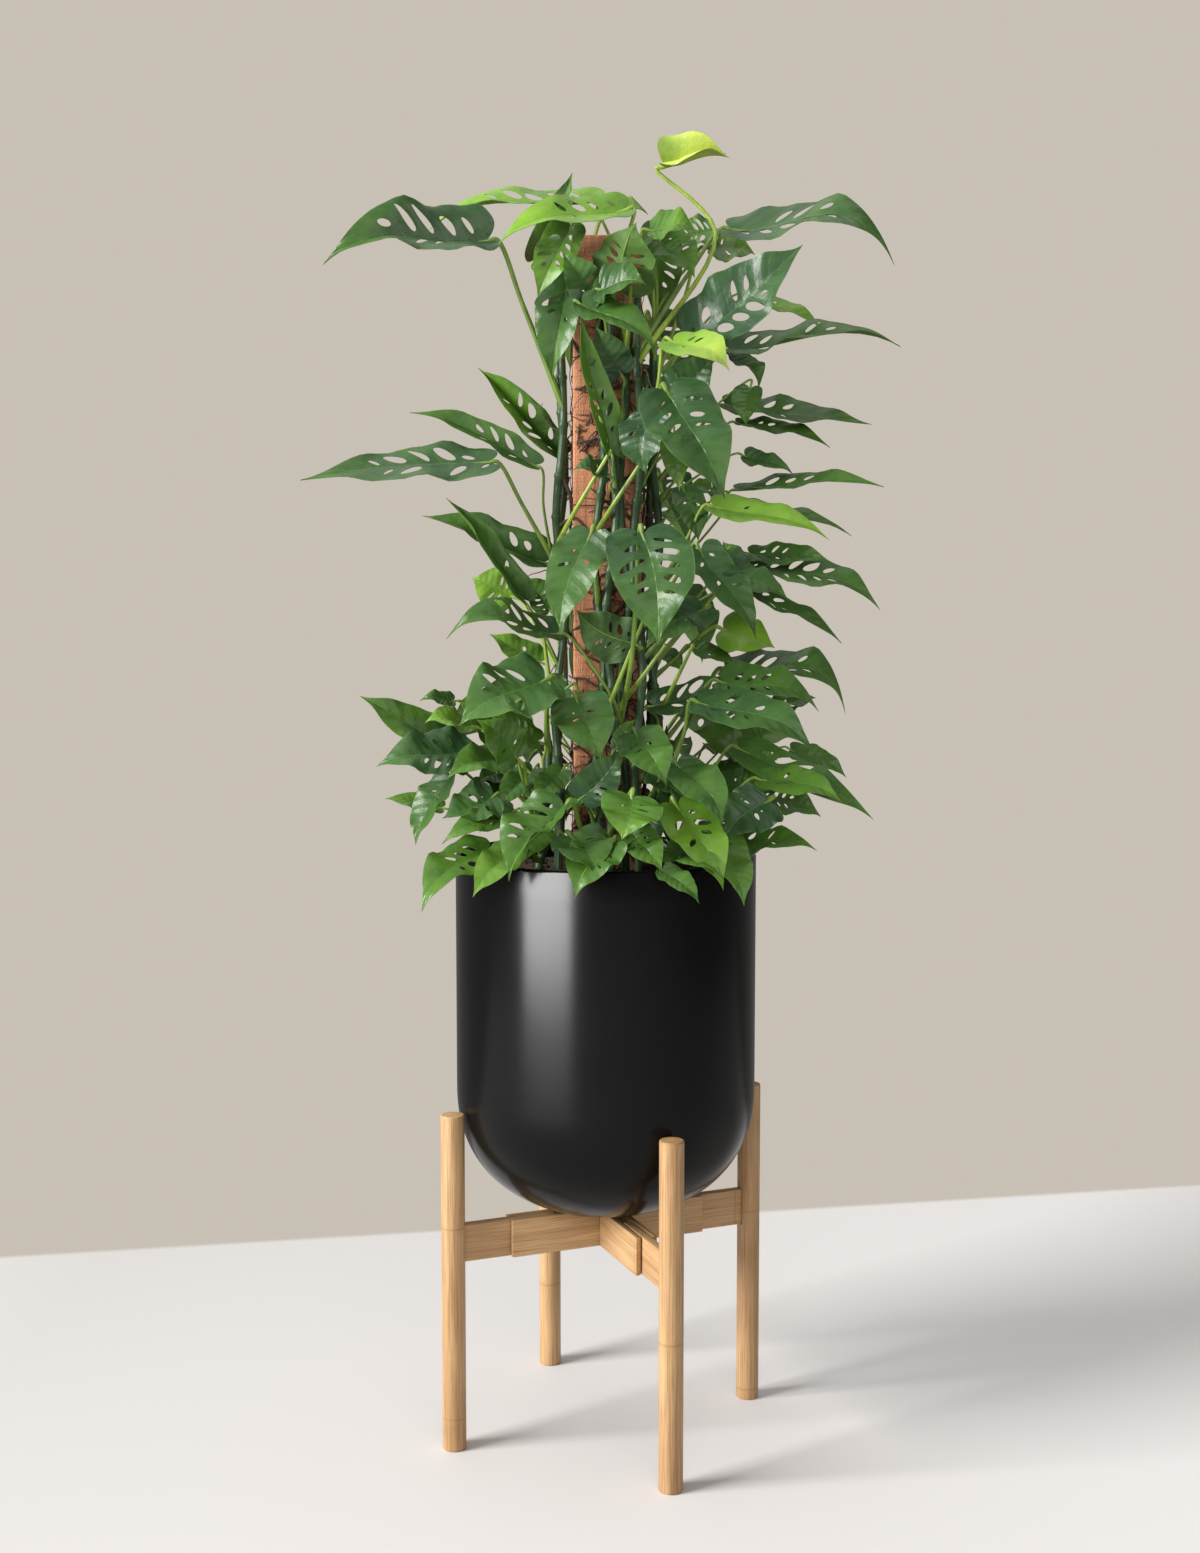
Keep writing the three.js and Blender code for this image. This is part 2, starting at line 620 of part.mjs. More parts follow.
function bladeLayout(leaf) {
  const points = [];
  const faces = [];
  const point = (place, share) => {
    const made = { place, share, index: points.length };
    points.push(made);
    return made;
  };
  const outline = leaf.width < SMALL_LEAF ? SMALL_OUTLINE : LARGE_OUTLINE;
  const neck = PETIOLE_RADIUS / (leaf.width / 2);
  const necks = [point(0, neck), point(0, -neck)];
  const midrib = outline.map(([place]) => point(Math.max(place, FIRST_MIDRIB_PLACE), 0));
  const tip = point(1, 0);
  faces.push([necks[1].index, necks[0].index, midrib[0].index]);
  [1, -1].forEach((side) => {
    const sideFaces = [];
    const start = side > 0 ? necks[0] : necks[1];
    const holeCells = HOLE_CELLS[leaf.holes][side > 0 ? 0 : 1];
    const edge = outline.map(([place, share]) => point(place, side * share));
    sideFaces.push([start.index, edge[0].index, midrib[0].index]);
    for (let cell = 0; cell + 1 < edge.length; cell += 1) {
      const corners = [midrib[cell], edge[cell], edge[cell + 1], midrib[cell + 1]];
      addCell(points, sideFaces, corners, holeCells.includes(cell));
    }
    const last = edge.length - 1;
    sideFaces.push([midrib[last].index, edge[last].index, tip.index]);
    sideFaces.forEach((face) => faces.push(side > 0 ? face : [...face].reverse()));
  });
  return { points, faces, necks };
}

// Edges that only one face uses bound the blade and its holes
function openEdges(faces) {
  const seen = new Set(faces.flatMap(([a, b, c]) => [`${a}-${b}`, `${b}-${c}`, `${c}-${a}`]));
  return [...seen].map((key) => key.split('-').map(Number)).filter(([a, b]) => !seen.has(`${b}-${a}`));
}

// The line of the stalk: it leaves the stem steeply, arches over and meets the blade along its midrib
function petioleLine(leaf, stem, axes) {
  const lowest = stem.foot + ROOT_ABOVE_FOOT;
  const highest = stem.top - ROOT_BELOW_TOP;
  const root = stemPoint(stem, THREE.MathUtils.clamp(leaf.base.z - leaf.drop, lowest, highest));
  const reach = leaf.base.distanceTo(root);
  const knee = leaf.base.clone().addScaledVector(axes.along, -KNEE_LENGTH);
  const shoulder = leaf.via ?? root.clone().lerp(leaf.base, SHOULDER_PLACE);
  if (!leaf.via) {
    shoulder.z += reach * PETIOLE_RISE;
  }
  return new THREE.CatmullRomCurve3([root, shoulder, knee, leaf.base], false, 'centripetal');
}

// Square sections of the stalk from the stem to the blade, carried back from the blade without twist
function petioleRings(line, axes) {
  const places = line.getLength() < SHORT_PETIOLE ? SHORT_STALK_PLACES : LONG_STALK_PLACES;
  const corner = PETIOLE_RADIUS / Math.SQRT2;
  let across = axes.across;
  return [...places].reverse().map((place) => {
    const heading = line.getTangentAt(place);
    across = across.clone().addScaledVector(heading, -across.dot(heading)).normalize();
    const out = across.clone().cross(heading);
    const centre = line.getPointAt(place);
    return [[1, 1], [-1, 1], [-1, -1], [1, -1]].map(([right, up]) => centre.clone()
      .addScaledVector(across, right * corner)
      .addScaledVector(out, up * corner));
  }).reverse();
}

// Blade and stalk in one closed skin: the stalk takes the place of the blade's edge at its neck
function leafSolid(leaf, stem) {
  const axes = leafAxes(leaf);
  const { points, faces, necks } = bladeLayout(leaf);
  const count = points.length;
  const half = axes.out.clone().multiplyScalar(BLADE_THICKNESS / 2);
  const middle = points.map(({ place, share }) => bladePoint(leaf, axes, place, share));
  const rings = petioleRings(petioleLine(leaf, stem, axes), axes);
  const positions = [
    ...middle.map((point) => point.clone().add(half)),
    ...middle.map((point) => point.clone().sub(half)),
    ...rings.flat(),
  ].flatMap((point) => point.toArray());
  const [right, left] = necks.map((neck) => neck.index);
  const loops = rings.map((ring, index) => [0, 1, 2, 3].map((corner) => 2 * count + 4 * index + corner));
  loops.push([right, left, left + count, right + count]);
  const stalk = loops.slice(1).flatMap((loop, index) => [0, 1, 2, 3].flatMap((corner) => {
    const next = (corner + 1) % 4;
    const behind = loops[index];
    return [[behind[corner], loop[corner], loop[next]], [behind[corner], loop[next], behind[next]]];
  }));
  const walls = openEdges(faces).filter(([a, b]) => a !== left || b !== right);
  const triangles = [
    ...faces,
    ...faces.map(([a, b, c]) => [c + count, b + count, a + count]),
    ...walls.flatMap(([a, b]) => [[b, a, a + count], [b, a + count, b + count]]),
    ...stalk,
    [loops[0][0], loops[0][1], loops[0][2]],
    [loops[0][0], loops[0][2], loops[0][3]],
  ].flat();
  return new wasm.Manifold(new wasm.Mesh({
    numProp: 3,
    vertProperties: Float32Array.from(positions),
    triVerts: Uint32Array.from(triangles),
  }));
}

// The stem leans evenly from its foot in the soil to its top and sways a little above the soil
function stemPoint(stem, height) {
  const share = (height - stem.foot) / (stem.top - stem.foot);
  const above = Math.max(height - SOIL_TOP - SOIL_MOUND, 0) / (stem.top - SOIL_TOP - SOIL_MOUND);
  const held = Math.sin(above * Math.PI) ** 2;
  const sway = STEM_SWAY * held * Math.sin(above * SWAYS_PER_STEM * 2 * Math.PI + stem.phase);
  const place = stem.from.clone().lerp(stem.to, share);
  return new THREE.Vector3(place.x + sway, place.y, height);
}

function stemSolid(stem) {
  const points = [];
  const count = Math.max(3, Math.round((stem.top - stem.foot) / STEM_STEP));
  for (let step = 0; step <= count; step += 1) {
    points.push(stemPoint(stem, stem.foot + (stem.top - stem.foot) * (step / count)));
  }
  return tubeSolid(points, STEM_RADIUS, STEM_SIDES, count);
}

// The plain straight hole in the soil that a stem's foot stands in
function stemHoleSolid(stem) {
  const low = stemPoint(stem, stem.foot);
  const high = stemPoint(stem, SOIL_TOP + SOIL_MOUND);
  const reach = high.clone().sub(low).normalize();
  low.addScaledVector(reach, -CLEARANCE);
  high.addScaledVector(reach, SOIL_MOUND);
  return tubeSolid([low, high], STEM_RADIUS + STEM_HOLE_MARGIN, STEM_HOLE_SIDES, 1);
}

function vineSolid(vine) {
  return joined([stemSolid(vine.stem), ...vine.leaves.map((leaf) => leafSolid(leaf, vine.stem))]);
}

function readLeaf(row, index) {
  const [base, tip, width, tilt, turn, fold, arch, holes, drop, via] = row;
  return {
    base: new THREE.Vector3(...base),
    tip: new THREE.Vector3(...tip),
    width,
    tilt,
    turn,
    fold,
    arch,
    holes,
    drop,
    via: via ? new THREE.Vector3(...via) : null,
    phase: index * WAVE_STEP_PER_LEAF,
  };
}

function readVine(row, index) {
  const stem = {
    from: new THREE.Vector3(...row.from, 0),
    to: new THREE.Vector3(...row.to, 0),
    foot: STEM_FOOT,
    top: row.top,
    phase: index * SWAY_STEP_PER_STEM,
  };
  return { name: row.name, stem, leaves: row.leaves.map(readLeaf) };
}

const vines = VINES.map(readVine);

function soilGeometry() {
  const holes = [
    toSolid(postGeometry(CLEARANCE)),
    ...vines.map((vine) => stemHoleSolid(vine.stem)),
  ];
  return toGeometry(soilBody().subtract(joined(holes)));
}

// The whole object
const object = new THREE.Group();
object.add(standGroup());
object.add(mesh('planter', planterGeometry(), planterBlack()));
object.add(mesh('soil', soilGeometry(), pottingSoil()));
object.add(mesh('climbing_post', toGeometry(toSolid(postGeometry(0))), reddishTimber()));
vines.forEach((vine) => object.add(mesh(vine.name, toGeometry(vineSolid(vine)), leafGreen())));

export default object;
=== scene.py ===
"""Potted swiss cheese vine on a timber post, in a black planter on a bamboo stand.

Metres, +Z up, with the origin on the floor under the middle of the stand and the front
towards -Y. The leaf places are those of the solids, in millimetres, turned to metres on use.
"""

import json
import logging
import math
import random
from dataclasses import dataclass, field
from enum import Enum

import bpy
import numpy as np
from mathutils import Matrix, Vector, noise
from mathutils.geometry import delaunay_2d_cdt

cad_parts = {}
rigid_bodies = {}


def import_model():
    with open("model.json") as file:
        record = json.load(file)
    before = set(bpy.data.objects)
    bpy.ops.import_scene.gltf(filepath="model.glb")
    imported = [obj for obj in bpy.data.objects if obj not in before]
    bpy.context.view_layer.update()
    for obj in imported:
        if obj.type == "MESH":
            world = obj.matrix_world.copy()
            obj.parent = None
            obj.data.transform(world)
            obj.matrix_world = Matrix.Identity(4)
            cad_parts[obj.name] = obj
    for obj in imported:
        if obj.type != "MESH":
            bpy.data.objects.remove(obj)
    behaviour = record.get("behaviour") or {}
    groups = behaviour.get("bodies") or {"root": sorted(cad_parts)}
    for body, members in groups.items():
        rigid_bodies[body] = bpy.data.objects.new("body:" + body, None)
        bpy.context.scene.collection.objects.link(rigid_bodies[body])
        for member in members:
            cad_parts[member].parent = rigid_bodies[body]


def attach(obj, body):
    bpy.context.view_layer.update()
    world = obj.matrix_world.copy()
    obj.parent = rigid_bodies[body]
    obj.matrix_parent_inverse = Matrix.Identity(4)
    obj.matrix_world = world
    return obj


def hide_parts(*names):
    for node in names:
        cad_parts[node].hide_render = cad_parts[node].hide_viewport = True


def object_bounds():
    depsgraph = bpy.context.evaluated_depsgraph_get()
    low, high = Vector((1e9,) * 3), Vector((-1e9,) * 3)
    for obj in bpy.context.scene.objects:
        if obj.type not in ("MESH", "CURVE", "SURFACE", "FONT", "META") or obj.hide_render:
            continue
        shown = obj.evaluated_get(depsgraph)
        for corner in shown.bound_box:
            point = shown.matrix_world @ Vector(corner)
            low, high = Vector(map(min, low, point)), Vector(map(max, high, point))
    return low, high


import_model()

CAD_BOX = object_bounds()
ROOT_BODY = "stand_and_plant"
MM = 0.001
LOG = logging.getLogger("potted_vine")

# Sizes shared with the solids, in metres
STAND_TURN = math.radians(22.1)
LEG_RADIUS_FROM_AXIS = 0.173
STEM_RADIUS = 0.0044
STEM_FOOT = 0.565
STALK_RADIUS = 0.0023
SOIL_SURFACE = 0.612
POST_CENTRE_X = 0.0015
CORNERS = ("back_right", "back_left", "front_left", "front_right")
# How much later than the last the sway of each stem and the wave of each blade starts, radians
STEM_PHASE = 2.1
LEAF_PHASE = 1.7
BLACK = (0.0, 0.0, 0.0)
WHITE = (1.0, 1.0, 1.0)

# Blade outline from stalk to tip: place along the midrib, half width as a share of the widest
OUTLINE = (
    (-0.038, 0.22),
    (-0.055, 0.48),
    (0.0, 0.80),
    (0.13, 0.97),
    (0.34, 1.0),
    (0.58, 0.84),
    (0.76, 0.50),
    (0.87, 0.21),
    (0.94, 0.07),
)


class Pierced(Enum):
    """How richly a blade is holed."""

    WHOLE = 0
    FEW = 1
    SOME = 2
    MANY = 3


class Grain(Enum):
    """Which way the fibres of a bamboo piece run."""

    UP = "up"
    ALONG_LONG_BEAM = "long"
    ALONG_CROSS_BEAM = "cross"


@dataclass(frozen=True)
class Hole:
    """One oval hole in a blade, between two side veins.

    Args:
        gap: which gap between side veins it fills, counted from the stalk.
        inner: its inner end, as a share of the way to the edge.
        outer: its outer end, as a share of the way to the edge.
        width: its half width, as a share of the blade's length.
        side: 1 for the right half of the blade and -1 for the left.
    """

    gap: int
    inner: float
    outer: float
    width: float
    side: int


HOLES = {
    Pierced.WHOLE: (),
    Pierced.FEW: (
        Hole(1, 0.20, 0.50, 0.018, 1),
        Hole(2, 0.16, 0.62, 0.026, 1),
        Hole(2, 0.16, 0.50, 0.020, -1),
    ),
    Pierced.SOME: (
        Hole(0, 0.24, 0.52, 0.015, 1),
        Hole(1, 0.17, 0.70, 0.028, 1),
        Hole(2, 0.16, 0.72, 0.030, 1),
        Hole(3, 0.18, 0.62, 0.024, 1),
        Hole(1, 0.20, 0.62, 0.024, -1),
        Hole(2, 0.16, 0.72, 0.031, -1),
        Hole(3, 0.18, 0.66, 0.026, -1),
    ),
    Pierced.MANY: (
        Hole(0, 0.20, 0.66, 0.023, 1),
        Hole(1, 0.15, 0.78, 0.034, 1),
        Hole(2, 0.15, 0.80, 0.037, 1),
        Hole(3, 0.16, 0.77, 0.033, 1),
        Hole(4, 0.19, 0.66, 0.025, 1),
        Hole(0, 0.12, 0.36, 0.013, -1),
        Hole(1, 0.17, 0.76, 0.031, -1),
        Hole(2, 0.15, 0.80, 0.037, -1),
        Hole(3, 0.15, 0.78, 0.035, -1),
        Hole(4, 0.18, 0.68, 0.027, -1),
    ),
}
# Side veins: their spacing along the midrib, and how far they run towards the tip by the edge
VEIN_SPACING = 0.125
VEIN_SKEW = 0.07
VEIN_CURL = 0.07
# Brings the highest point of an arch, two thirds along the blade, to the share in the plan
ARCH_TO_PEAK = 6.75
# A stem's joint: height from its middle in metres, and radius as a share of the stem's
JOINT_SHAPE = ((-0.012, 1.0), (-0.003, 1.05), (-0.0012, 1.22), (0.0012, 1.2), (0.003, 0.97), (0.014, 0.95))


@dataclass(frozen=True)
class Leaf:
    """One leaf: where its blade starts and ends, how it is turned, and its look.

    Args:
        base: start of the blade, metres.
        tip: tip of the blade, metres.
        width: widest width, metres.
        tilt: tilt of the upper face from straight up, radians.
        turn: heading that it tilts to, radians; 0 is the front, a quarter turn the right.
        fold: fold along the midrib, radians.
        arch: bulge of the midrib as a share of the blade's length.
        pierced: how richly the blade is holed.
        drop: how far below the blade its stalk leaves the stem, metres.
        tone: 0 for an old blue-green leaf to 1 for a new lime-green one.
        via: a point that a widely bowed stalk passes, or None.
        phase: where the wave of the edge starts, radians.
    """

    base: Vector
    tip: Vector
    width: float
    tilt: float
    turn: float
    fold: float
    arch: float
    pierced: Pierced
    drop: float
    tone: float
    via: Vector | None
    phase: float

    @property
    def length(self) -> float:
        """Length of the blade from base to tip."""
        return (self.tip - self.base).length


@dataclass(frozen=True)
class Stem:
    """One climbing stem, which leans evenly from its foot in the soil to its top.

    Args:
        name: the solid's name.
        low: place of the foot across the floor, metres.
        high: place of the top across the floor, metres.
        top: height of the top, metres.
        phase: where its sway starts, radians.
        sideways: how far it sways to the sides, metres.
        forward: how far it sways to the front and back, metres.
    """

    name: str
    low: Vector
    high: Vector
    top: float
    phase: float
    sideways: float = 0.0055
    forward: float = 0.0022

    def point(self, height: float) -> Vector:
        """Gives the middle of the stem at a height.

        Args:
            height: metres above the floor.

        Returns:
            The point on the stem's axis.
        """
        share = (height - STEM_FOOT) / (self.top - STEM_FOOT)
        above = max(height - SOIL_SURFACE, 0.0) / (self.top - SOIL_SURFACE)
        held = math.sin(above * math.pi) ** 0.8 if 0 < above < 1 else 0.0
        sway = self.sideways * held * math.sin(above * 5 * math.pi + self.phase)
        depth = self.forward * held * math.sin(above * 8 * math.pi + 2 * self.phase)
        place = self.low.lerp(self.high, share)
        return Vector((place.x + sway, place.y + depth, height))


@dataclass(frozen=True)
class VineRow:
    """One row of the planting plan: a stem and its leaves, in millimetres and degrees.

    Args:
        name: the solid's name.
        low: place of the stem's foot across the floor.
        high: place of its top across the floor.
        top: height of its top.
        leaves: a row for each leaf, as read_leaf takes it.
    """

    name: str
    low: tuple
    high: tuple
    top: float
    leaves: tuple


PLAN = (
    VineRow("vine_left_a", (-50, -15), (-46, -13), 1150, (
        ((-120, -35, 1260), (-285, -65, 1230), 80, 54, 0, 25, 0.15, 3, 165, 0.15),
        ((-40, -30, 1230), (-55, -40, 1120), 58, 75, -25, 15, 0.08, 2, 60, 0.2),
        ((-120, -50, 1035), (-310, -75, 1015), 58, 40, 0, 4, 0.01, 3, 115, 0.15),
        ((-85, -45, 895), (-165, -40, 1000), 36, 68, 34, 40, 0.05, 1, 70, 0.3),
    )),
    VineRow("vine_left_b", (-52, 12), (-46, 8), 1165, (
        ((-35, -40, 1275), (-70, -45, 1200), 45, 60, 0, 15, 0.08, 3, 150, 0.5),
        ((-50, 20, 1050), (-135, 15, 1140), 46, 60, 0, 38, 0.05, 3, 80, 0.4),
        ((-75, -15, 1035), (-205, -10, 1090), 38, 48, 0, 30, 0.06, 2, 110, 0.3),
        ((-65, 10, 935), (-195, 15, 985), 52, 48, 0, 34, 0.05, 2, 60, 0.25),
        ((-100, 40, 900), (-145, 50, 920), 52, 60, -30, 5, 0.05, 2, 90, 0.65),
        ((-60, 35, 885), (-90, 45, 920), 36, 60, 0, 10, 0.05, 2, 60, 0.3),
        ((-70, 15, 830), (-125, 25, 860), 36, 45, 0, 8, 0.05, 1, 60, 0.45),
    )),
    VineRow("vine_right_a", (54, -18), (49, -14), 1165, (
        ((45, -60, 1265), (90, -65, 1260), 45, 50, 0, 12, 0.25, 0, 120, 0.45),
        ((55, -30, 1260), (90, -50, 1220), 46, 60, 0, 10, 0.1, 2, 130, 0.4),
        ((90, -60, 1160), (195, -90, 1245), 78, 62, -10, 8, 0.05, 3, 60, 0.03),
        ((140, -10, 1010), (285, -50, 1010), 38, 27, 0, 12, 0.05, 2, 110, 0.3),
        ((110, -50, 990), (225, -80, 955), 44, 36, 0, 12, 0.08, 1, 90, 0.7),
        ((95, -75, 945), (150, -105, 855), 52, 50, 20, 8, 0.12, 2, 70, 0.15),
        ((135, -50, 925), (120, -50, 955), 36, 60, 0, 10, 0.2, 1, 90, 0.15),
        ((140, -5, 910), (250, 5, 850), 36, 28, 0, 10, 0.06, 2, 80, 0.25),
        ((120, -25, 810), (220, -50, 780), 56, 38, 0, 8, 0.17, 2, 70, 0.3),
        ((50, -30, 785), (180, -15, 800), 42, 42, 0, 10, 0.06, 3, 30, 0.15),
        ((150, -15, 1115), (145, -25, 1075), 32, 60, 0, 12, 0.1, 0, 80, 0.3),
        ((80, -30, 1010), (95, -40, 955), 34, 45, 0, 10, 0.08, 1, 40, 0.2),
        ((145, -10, 1045), (195, -20, 1025), 26, 45, 0, 10, 0.1, 0, 50, 0.2),
    )),
    VineRow("vine_right_b", (54, 10), (49, 8), 1150, (
        ((110, 50, 1270), (160, 60, 1265), 50, 50, 0, 8, 0.12, 1, 150, 0.55),
        ((130, 0, 1155), (305, -25, 1155), 56, 27, 0, 10, 0.09, 3, 100, 0.25),
        ((130, 20, 1100), (280, 10, 1080), 50, 33, 0, 10, 0.02, 2, 90, 0.2),
        ((140, 5, 1080), (235, 0, 1055), 35, 28, 0, 10, 0.06, 1, 90, 0.3),
        ((145, 35, 995), (265, 45, 965), 36, 26, 0, 10, 0.06, 0, 90, 0.3),
        ((130, -10, 925), (190, -30, 895), 42, 42, 0, 8, 0.12, 0, 80, 0.15),
        ((155, 15, 930), (290, 0, 885), 60, 30, 0, 8, 0.11, 3, 100, 0.25),
        ((130, 25, 1155), (160, 20, 1115), 34, 60, 40, 15, 0.3, 0, 60, 0.25),
        ((95, 10, 845), (140, 10, 825), 24, 45, 0, 8, 0.1, 1, 30, 0.4),
        ((65, 20, 840), (80, 20, 820), 22, 45, 0, 8, 0.1, 0, 20, 0.4),
        ((155, 25, 945), (240, 10, 935), 34, 45, 0, 10, 0.1, 2, 90, 0.25),
    )),
    VineRow("vine_back_a", (-22, 38), (-18, 33), 1215, (
        ((-10, 30, 1315), (-190, 40, 1285), 56, 28, 0, 15, 0.1, 3, 120, 0.74),
        ((-20, 95, 1235), (-40, 182, 1160), 68, 40, 190, 15, 0.1, 3, 90, 0.2),
        ((-8, 105, 1065), (-12, 182, 965), 68, 48, 185, 15, 0.1, 2, 80, 0.2),
        ((-15, 110, 930), (-32, 180, 840), 66, 45, 190, 12, 0.12, 3, 80, 0.2),
        ((-90, 120, 790), (-190, 174, 725), 66, 45, 170, 12, 0.12, 2, 80, 0.2),
        ((-75, 35, 1255), (-35, 30, 1345), 34, 60, 20, 15, 0.05, 0, 70, 0.35),
    )),
    VineRow("vine_back_b", (22, 38), (20, 33), 1205, (
        ((0, 40, 1310), (45, 50, 1305), 45, 30, 0, 10, 0.12, 1, 80, 0.6),
        ((55, 40, 1290), (50, 45, 1190), 48, 75, 10, 12, 0.08, 3, 150, 0.3),
        ((115, 40, 1285), (70, 45, 1270), 45, 54, 0, 10, 0.08, 3, 150, 0.3),
        ((150, 55, 1220), (235, 60, 1185), 36, 30, 0, 10, 0.06, 1, 130, 0.6),
        ((125, 20, 865), (180, 10, 845), 58, 45, 0, 5, 0.06, 0, 80, 0.75),
        ((48, 100, 1205), (85, 180, 1120), 70, 40, 165, 15, 0.12, 3, 90, 0.2),
        ((60, 105, 1035), (98, 178, 955), 66, 45, 165, 15, 0.1, 3, 80, 0.2),
        ((75, 115, 905), (112, 180, 825), 68, 45, 165, 12, 0.12, 2, 80, 0.2),
        ((100, 125, 775), (200, 172, 705), 66, 45, 190, 12, 0.12, 2, 80, 0.2),
        ((125, 70, 1015), (90, 70, 1020), 28, 45, 0, 10, 0.1, 1, 90, 0.4),
    )),
    VineRow("vine_back_c", (0, 52), (1, 34), 1060, (
        ((20, 100, 1145), (38, 183, 1050), 72, 50, 175, 12, 0.14, 3, 80, 0.2),
        ((20, 105, 1000), (45, 186, 895), 68, 50, 180, 12, 0.14, 3, 90, 0.2),
        ((-5, 105, 860), (-25, 186, 760), 70, 50, 185, 12, 0.14, 3, 80, 0.2),
        ((10, 100, 745), (30, 178, 650), 66, 50, 180, 12, 0.14, 2, 70, 0.2),
    )),
    VineRow("vine_front_a", (-8, -40), (-5, -32), 1195, (
        ((-10, -50, 1195), (-45, -60, 1245), 42, 60, -20, 20, 0.1, 1, 60, 0.2),
        ((-25, -70, 1190), (50, -95, 1135), 42, 60, 20, 12, 0.15, 0, 100, 0.25),
        ((-15, -105, 960), (-45, -135, 860), 56, 50, -10, 5, 0.08, 1, 70, 0.2),
        ((-40, -50, 805), (-90, -45, 775), 44, 45, -20, 10, 0.15, 0, 50, 0.25),
        ((-30, -100, 795), (-5, -135, 735), 62, 50, 0, 5, 0.12, 1, 60, 0.25),
        ((-15, -70, 705), (-40, -90, 680), 30, 45, 0, 10, 0.1, 0, 40, 0.2),
    )),
    VineRow("vine_front_b", (6, -50), (5, -44), 1215, (
        ((20, -40, 1290), (-110, -60, 1250), 55, 42, 0, 15, 0.12, 2, 150, 0.7),
        ((-5, -70, 1205), (40, -95, 1205), 50, 60, 0, 10, 0.12, 0, 70, 0.2),
        ((30, -70, 850), (-30, -80, 885), 54, 110, 180, 8, 0.08, 2, 10, 0.1),
        ((0, -60, 1020), (-35, -70, 1025), 36, 50, -30, 20, 0.2, 1, 20, 0.1),
        ((30, -100, 760), (60, -135, 710), 52, 50, 0, 6, 0.15, 1, 50, 0.26),
        ((5, -70, 1045), (-25, -80, 1180), 34, 100, 30, 25, -0.08, 2, 40, 0.45),
        ((10, -95, 745), (30, -95, 775), 18, 45, 0, 10, 0.05, 0, 30, 0.35),
    )),
    VineRow("vine_front_c", (20, -40), (18, -32), 1185, (
        ((10, -55, 1210), (30, -75, 1270), 74, 120, 170, 10, -0.1, 3, 60, 0.3),
        ((15, -50, 1125), (-10, -65, 1170), 44, 85, 0, 10, 0.05, 0, 50, 0.1),
        ((45, -85, 1080), (40, -90, 1020), 54, 60, -30, 10, 0.05, 1, 40, 0.05),
        ((35, -120, 960), (50, -160, 850), 84, 50, -10, 4, 0.08, 3, 190, 0.15, (26, -104, 839)),
        ((-50, -80, 860), (-160, -105, 855), 48, 40, 0, 12, 0.26, 3, 95, 0.2, (6, -70, 796)),
        ((15, -50, 1225), (-10, -75, 1185), 30, 45, 0, 12, 0.08, 1, 110, 0.25),
    )),
    VineRow("vine_front_d", (34, -48), (32, -42), 1200, (
        ((130, 5, 1280), (295, -35, 1235), 64, 42, 0, 5, 0.25, 3, 135, 0.15),
        ((60, -30, 1335), (125, -40, 1345), 58, 58, 0, 50, 0.1, 0, 200, 1, (112, -30, 1270)),
        ((65, -50, 1100), (110, -60, 1145), 48, 70, 0, 12, 0.05, 2, 60, 0.1),
        ((65, -95, 1150), (120, -135, 1115), 52, 45, 0, 8, 0.15, 1, 110, 0.85),
        ((60, -105, 1100), (115, -150, 990), 78, 50, 0, 6, 0.1, 2, 70, 0.14),
        ((100, -60, 885), (40, -95, 845), 60, 50, -10, 8, 0.12, 1, 50, 0.15),
        ((70, -105, 730), (115, -140, 670), 50, 50, 10, 6, 0.15, 0, 60, 0.26),
        ((70, -40, 1065), (75, -60, 1005), 32, 60, 0, 12, 0.08, 0, 60, 0.45),
    )),
    VineRow("vine_low_left", (-72, -50), (-60, -48), 745, (
        ((-60, -100, 815), (-145, -145, 770), 84, 50, -10, 5, 0.12, 3, 60, 0.2),
        ((-140, -60, 765), (-185, -75, 770), 42, 40, -30, 10, 0.2, 1, 70, 0.6),
        ((-90, -95, 735), (-130, -110, 775), 46, 60, 0, 8, 0.1, 1, 70, 0.38),
        ((-145, -55, 740), (-235, -75, 725), 64, 45, 0, 5, 0.14, 2, 60, 0.1),
        ((-100, -80, 735), (-160, -120, 715), 44, 45, 0, 10, 0.15, 0, 60, 0.35),
        ((-160, -60, 715), (-195, -80, 645), 44, 50, -40, 12, 0.06, 1, 70, 0.25),
        ((-115, -80, 695), (-165, -105, 675), 56, 50, -20, 6, 0.06, 2, 60, 0.15),
        ((-115, -105, 645), (-180, -175, 590), 62, 45, -20, 8, 0.15, 2, 40, 0.4),
        ((-90, -130, 650), (-130, -175, 605), 42, 45, -10, 10, 0.1, 0, 40, 0.5),
        ((-70, -60, 750), (-125, -75, 780), 34, 45, 0, 10, 0.1, 2, 60, 0.5),
        ((-95, -40, 700), (-155, -60, 685), 34, 45, 0, 10, 0.15, 0, 50, 0.3),
        ((-95, -90, 680), (-165, -120, 650), 34, 45, 0, 10, 0.15, 1, 50, 0.35),
        ((-75, -50, 720), (-110, -85, 680), 34, 45, 0, 10, 0.1, 0, 50, 0.25),
    )),
    VineRow("vine_low_back_left", (-74, 42), (-62, 36), 745, (
        ((-110, -10, 780), (-75, -30, 745), 36, 45, 0, 10, 0.1, 0, 60, 0.15),
        ((-150, 0, 730), (-260, -10, 795), 56, 40, 0, 8, 0.03, 0, 70, 0.35),
        ((-100, -30, 710), (-135, -50, 705), 36, 40, 0, 10, 0.12, 1, 60, 0.2),
        ((-160, -20, 790), (-195, -30, 790), 22, 45, 0, 10, 0.2, 0, 60, 0.3),
        ((-175, 0, 675), (-235, 0, 685), 24, 45, 0, 8, 0.05, 0, 60, 0.45),
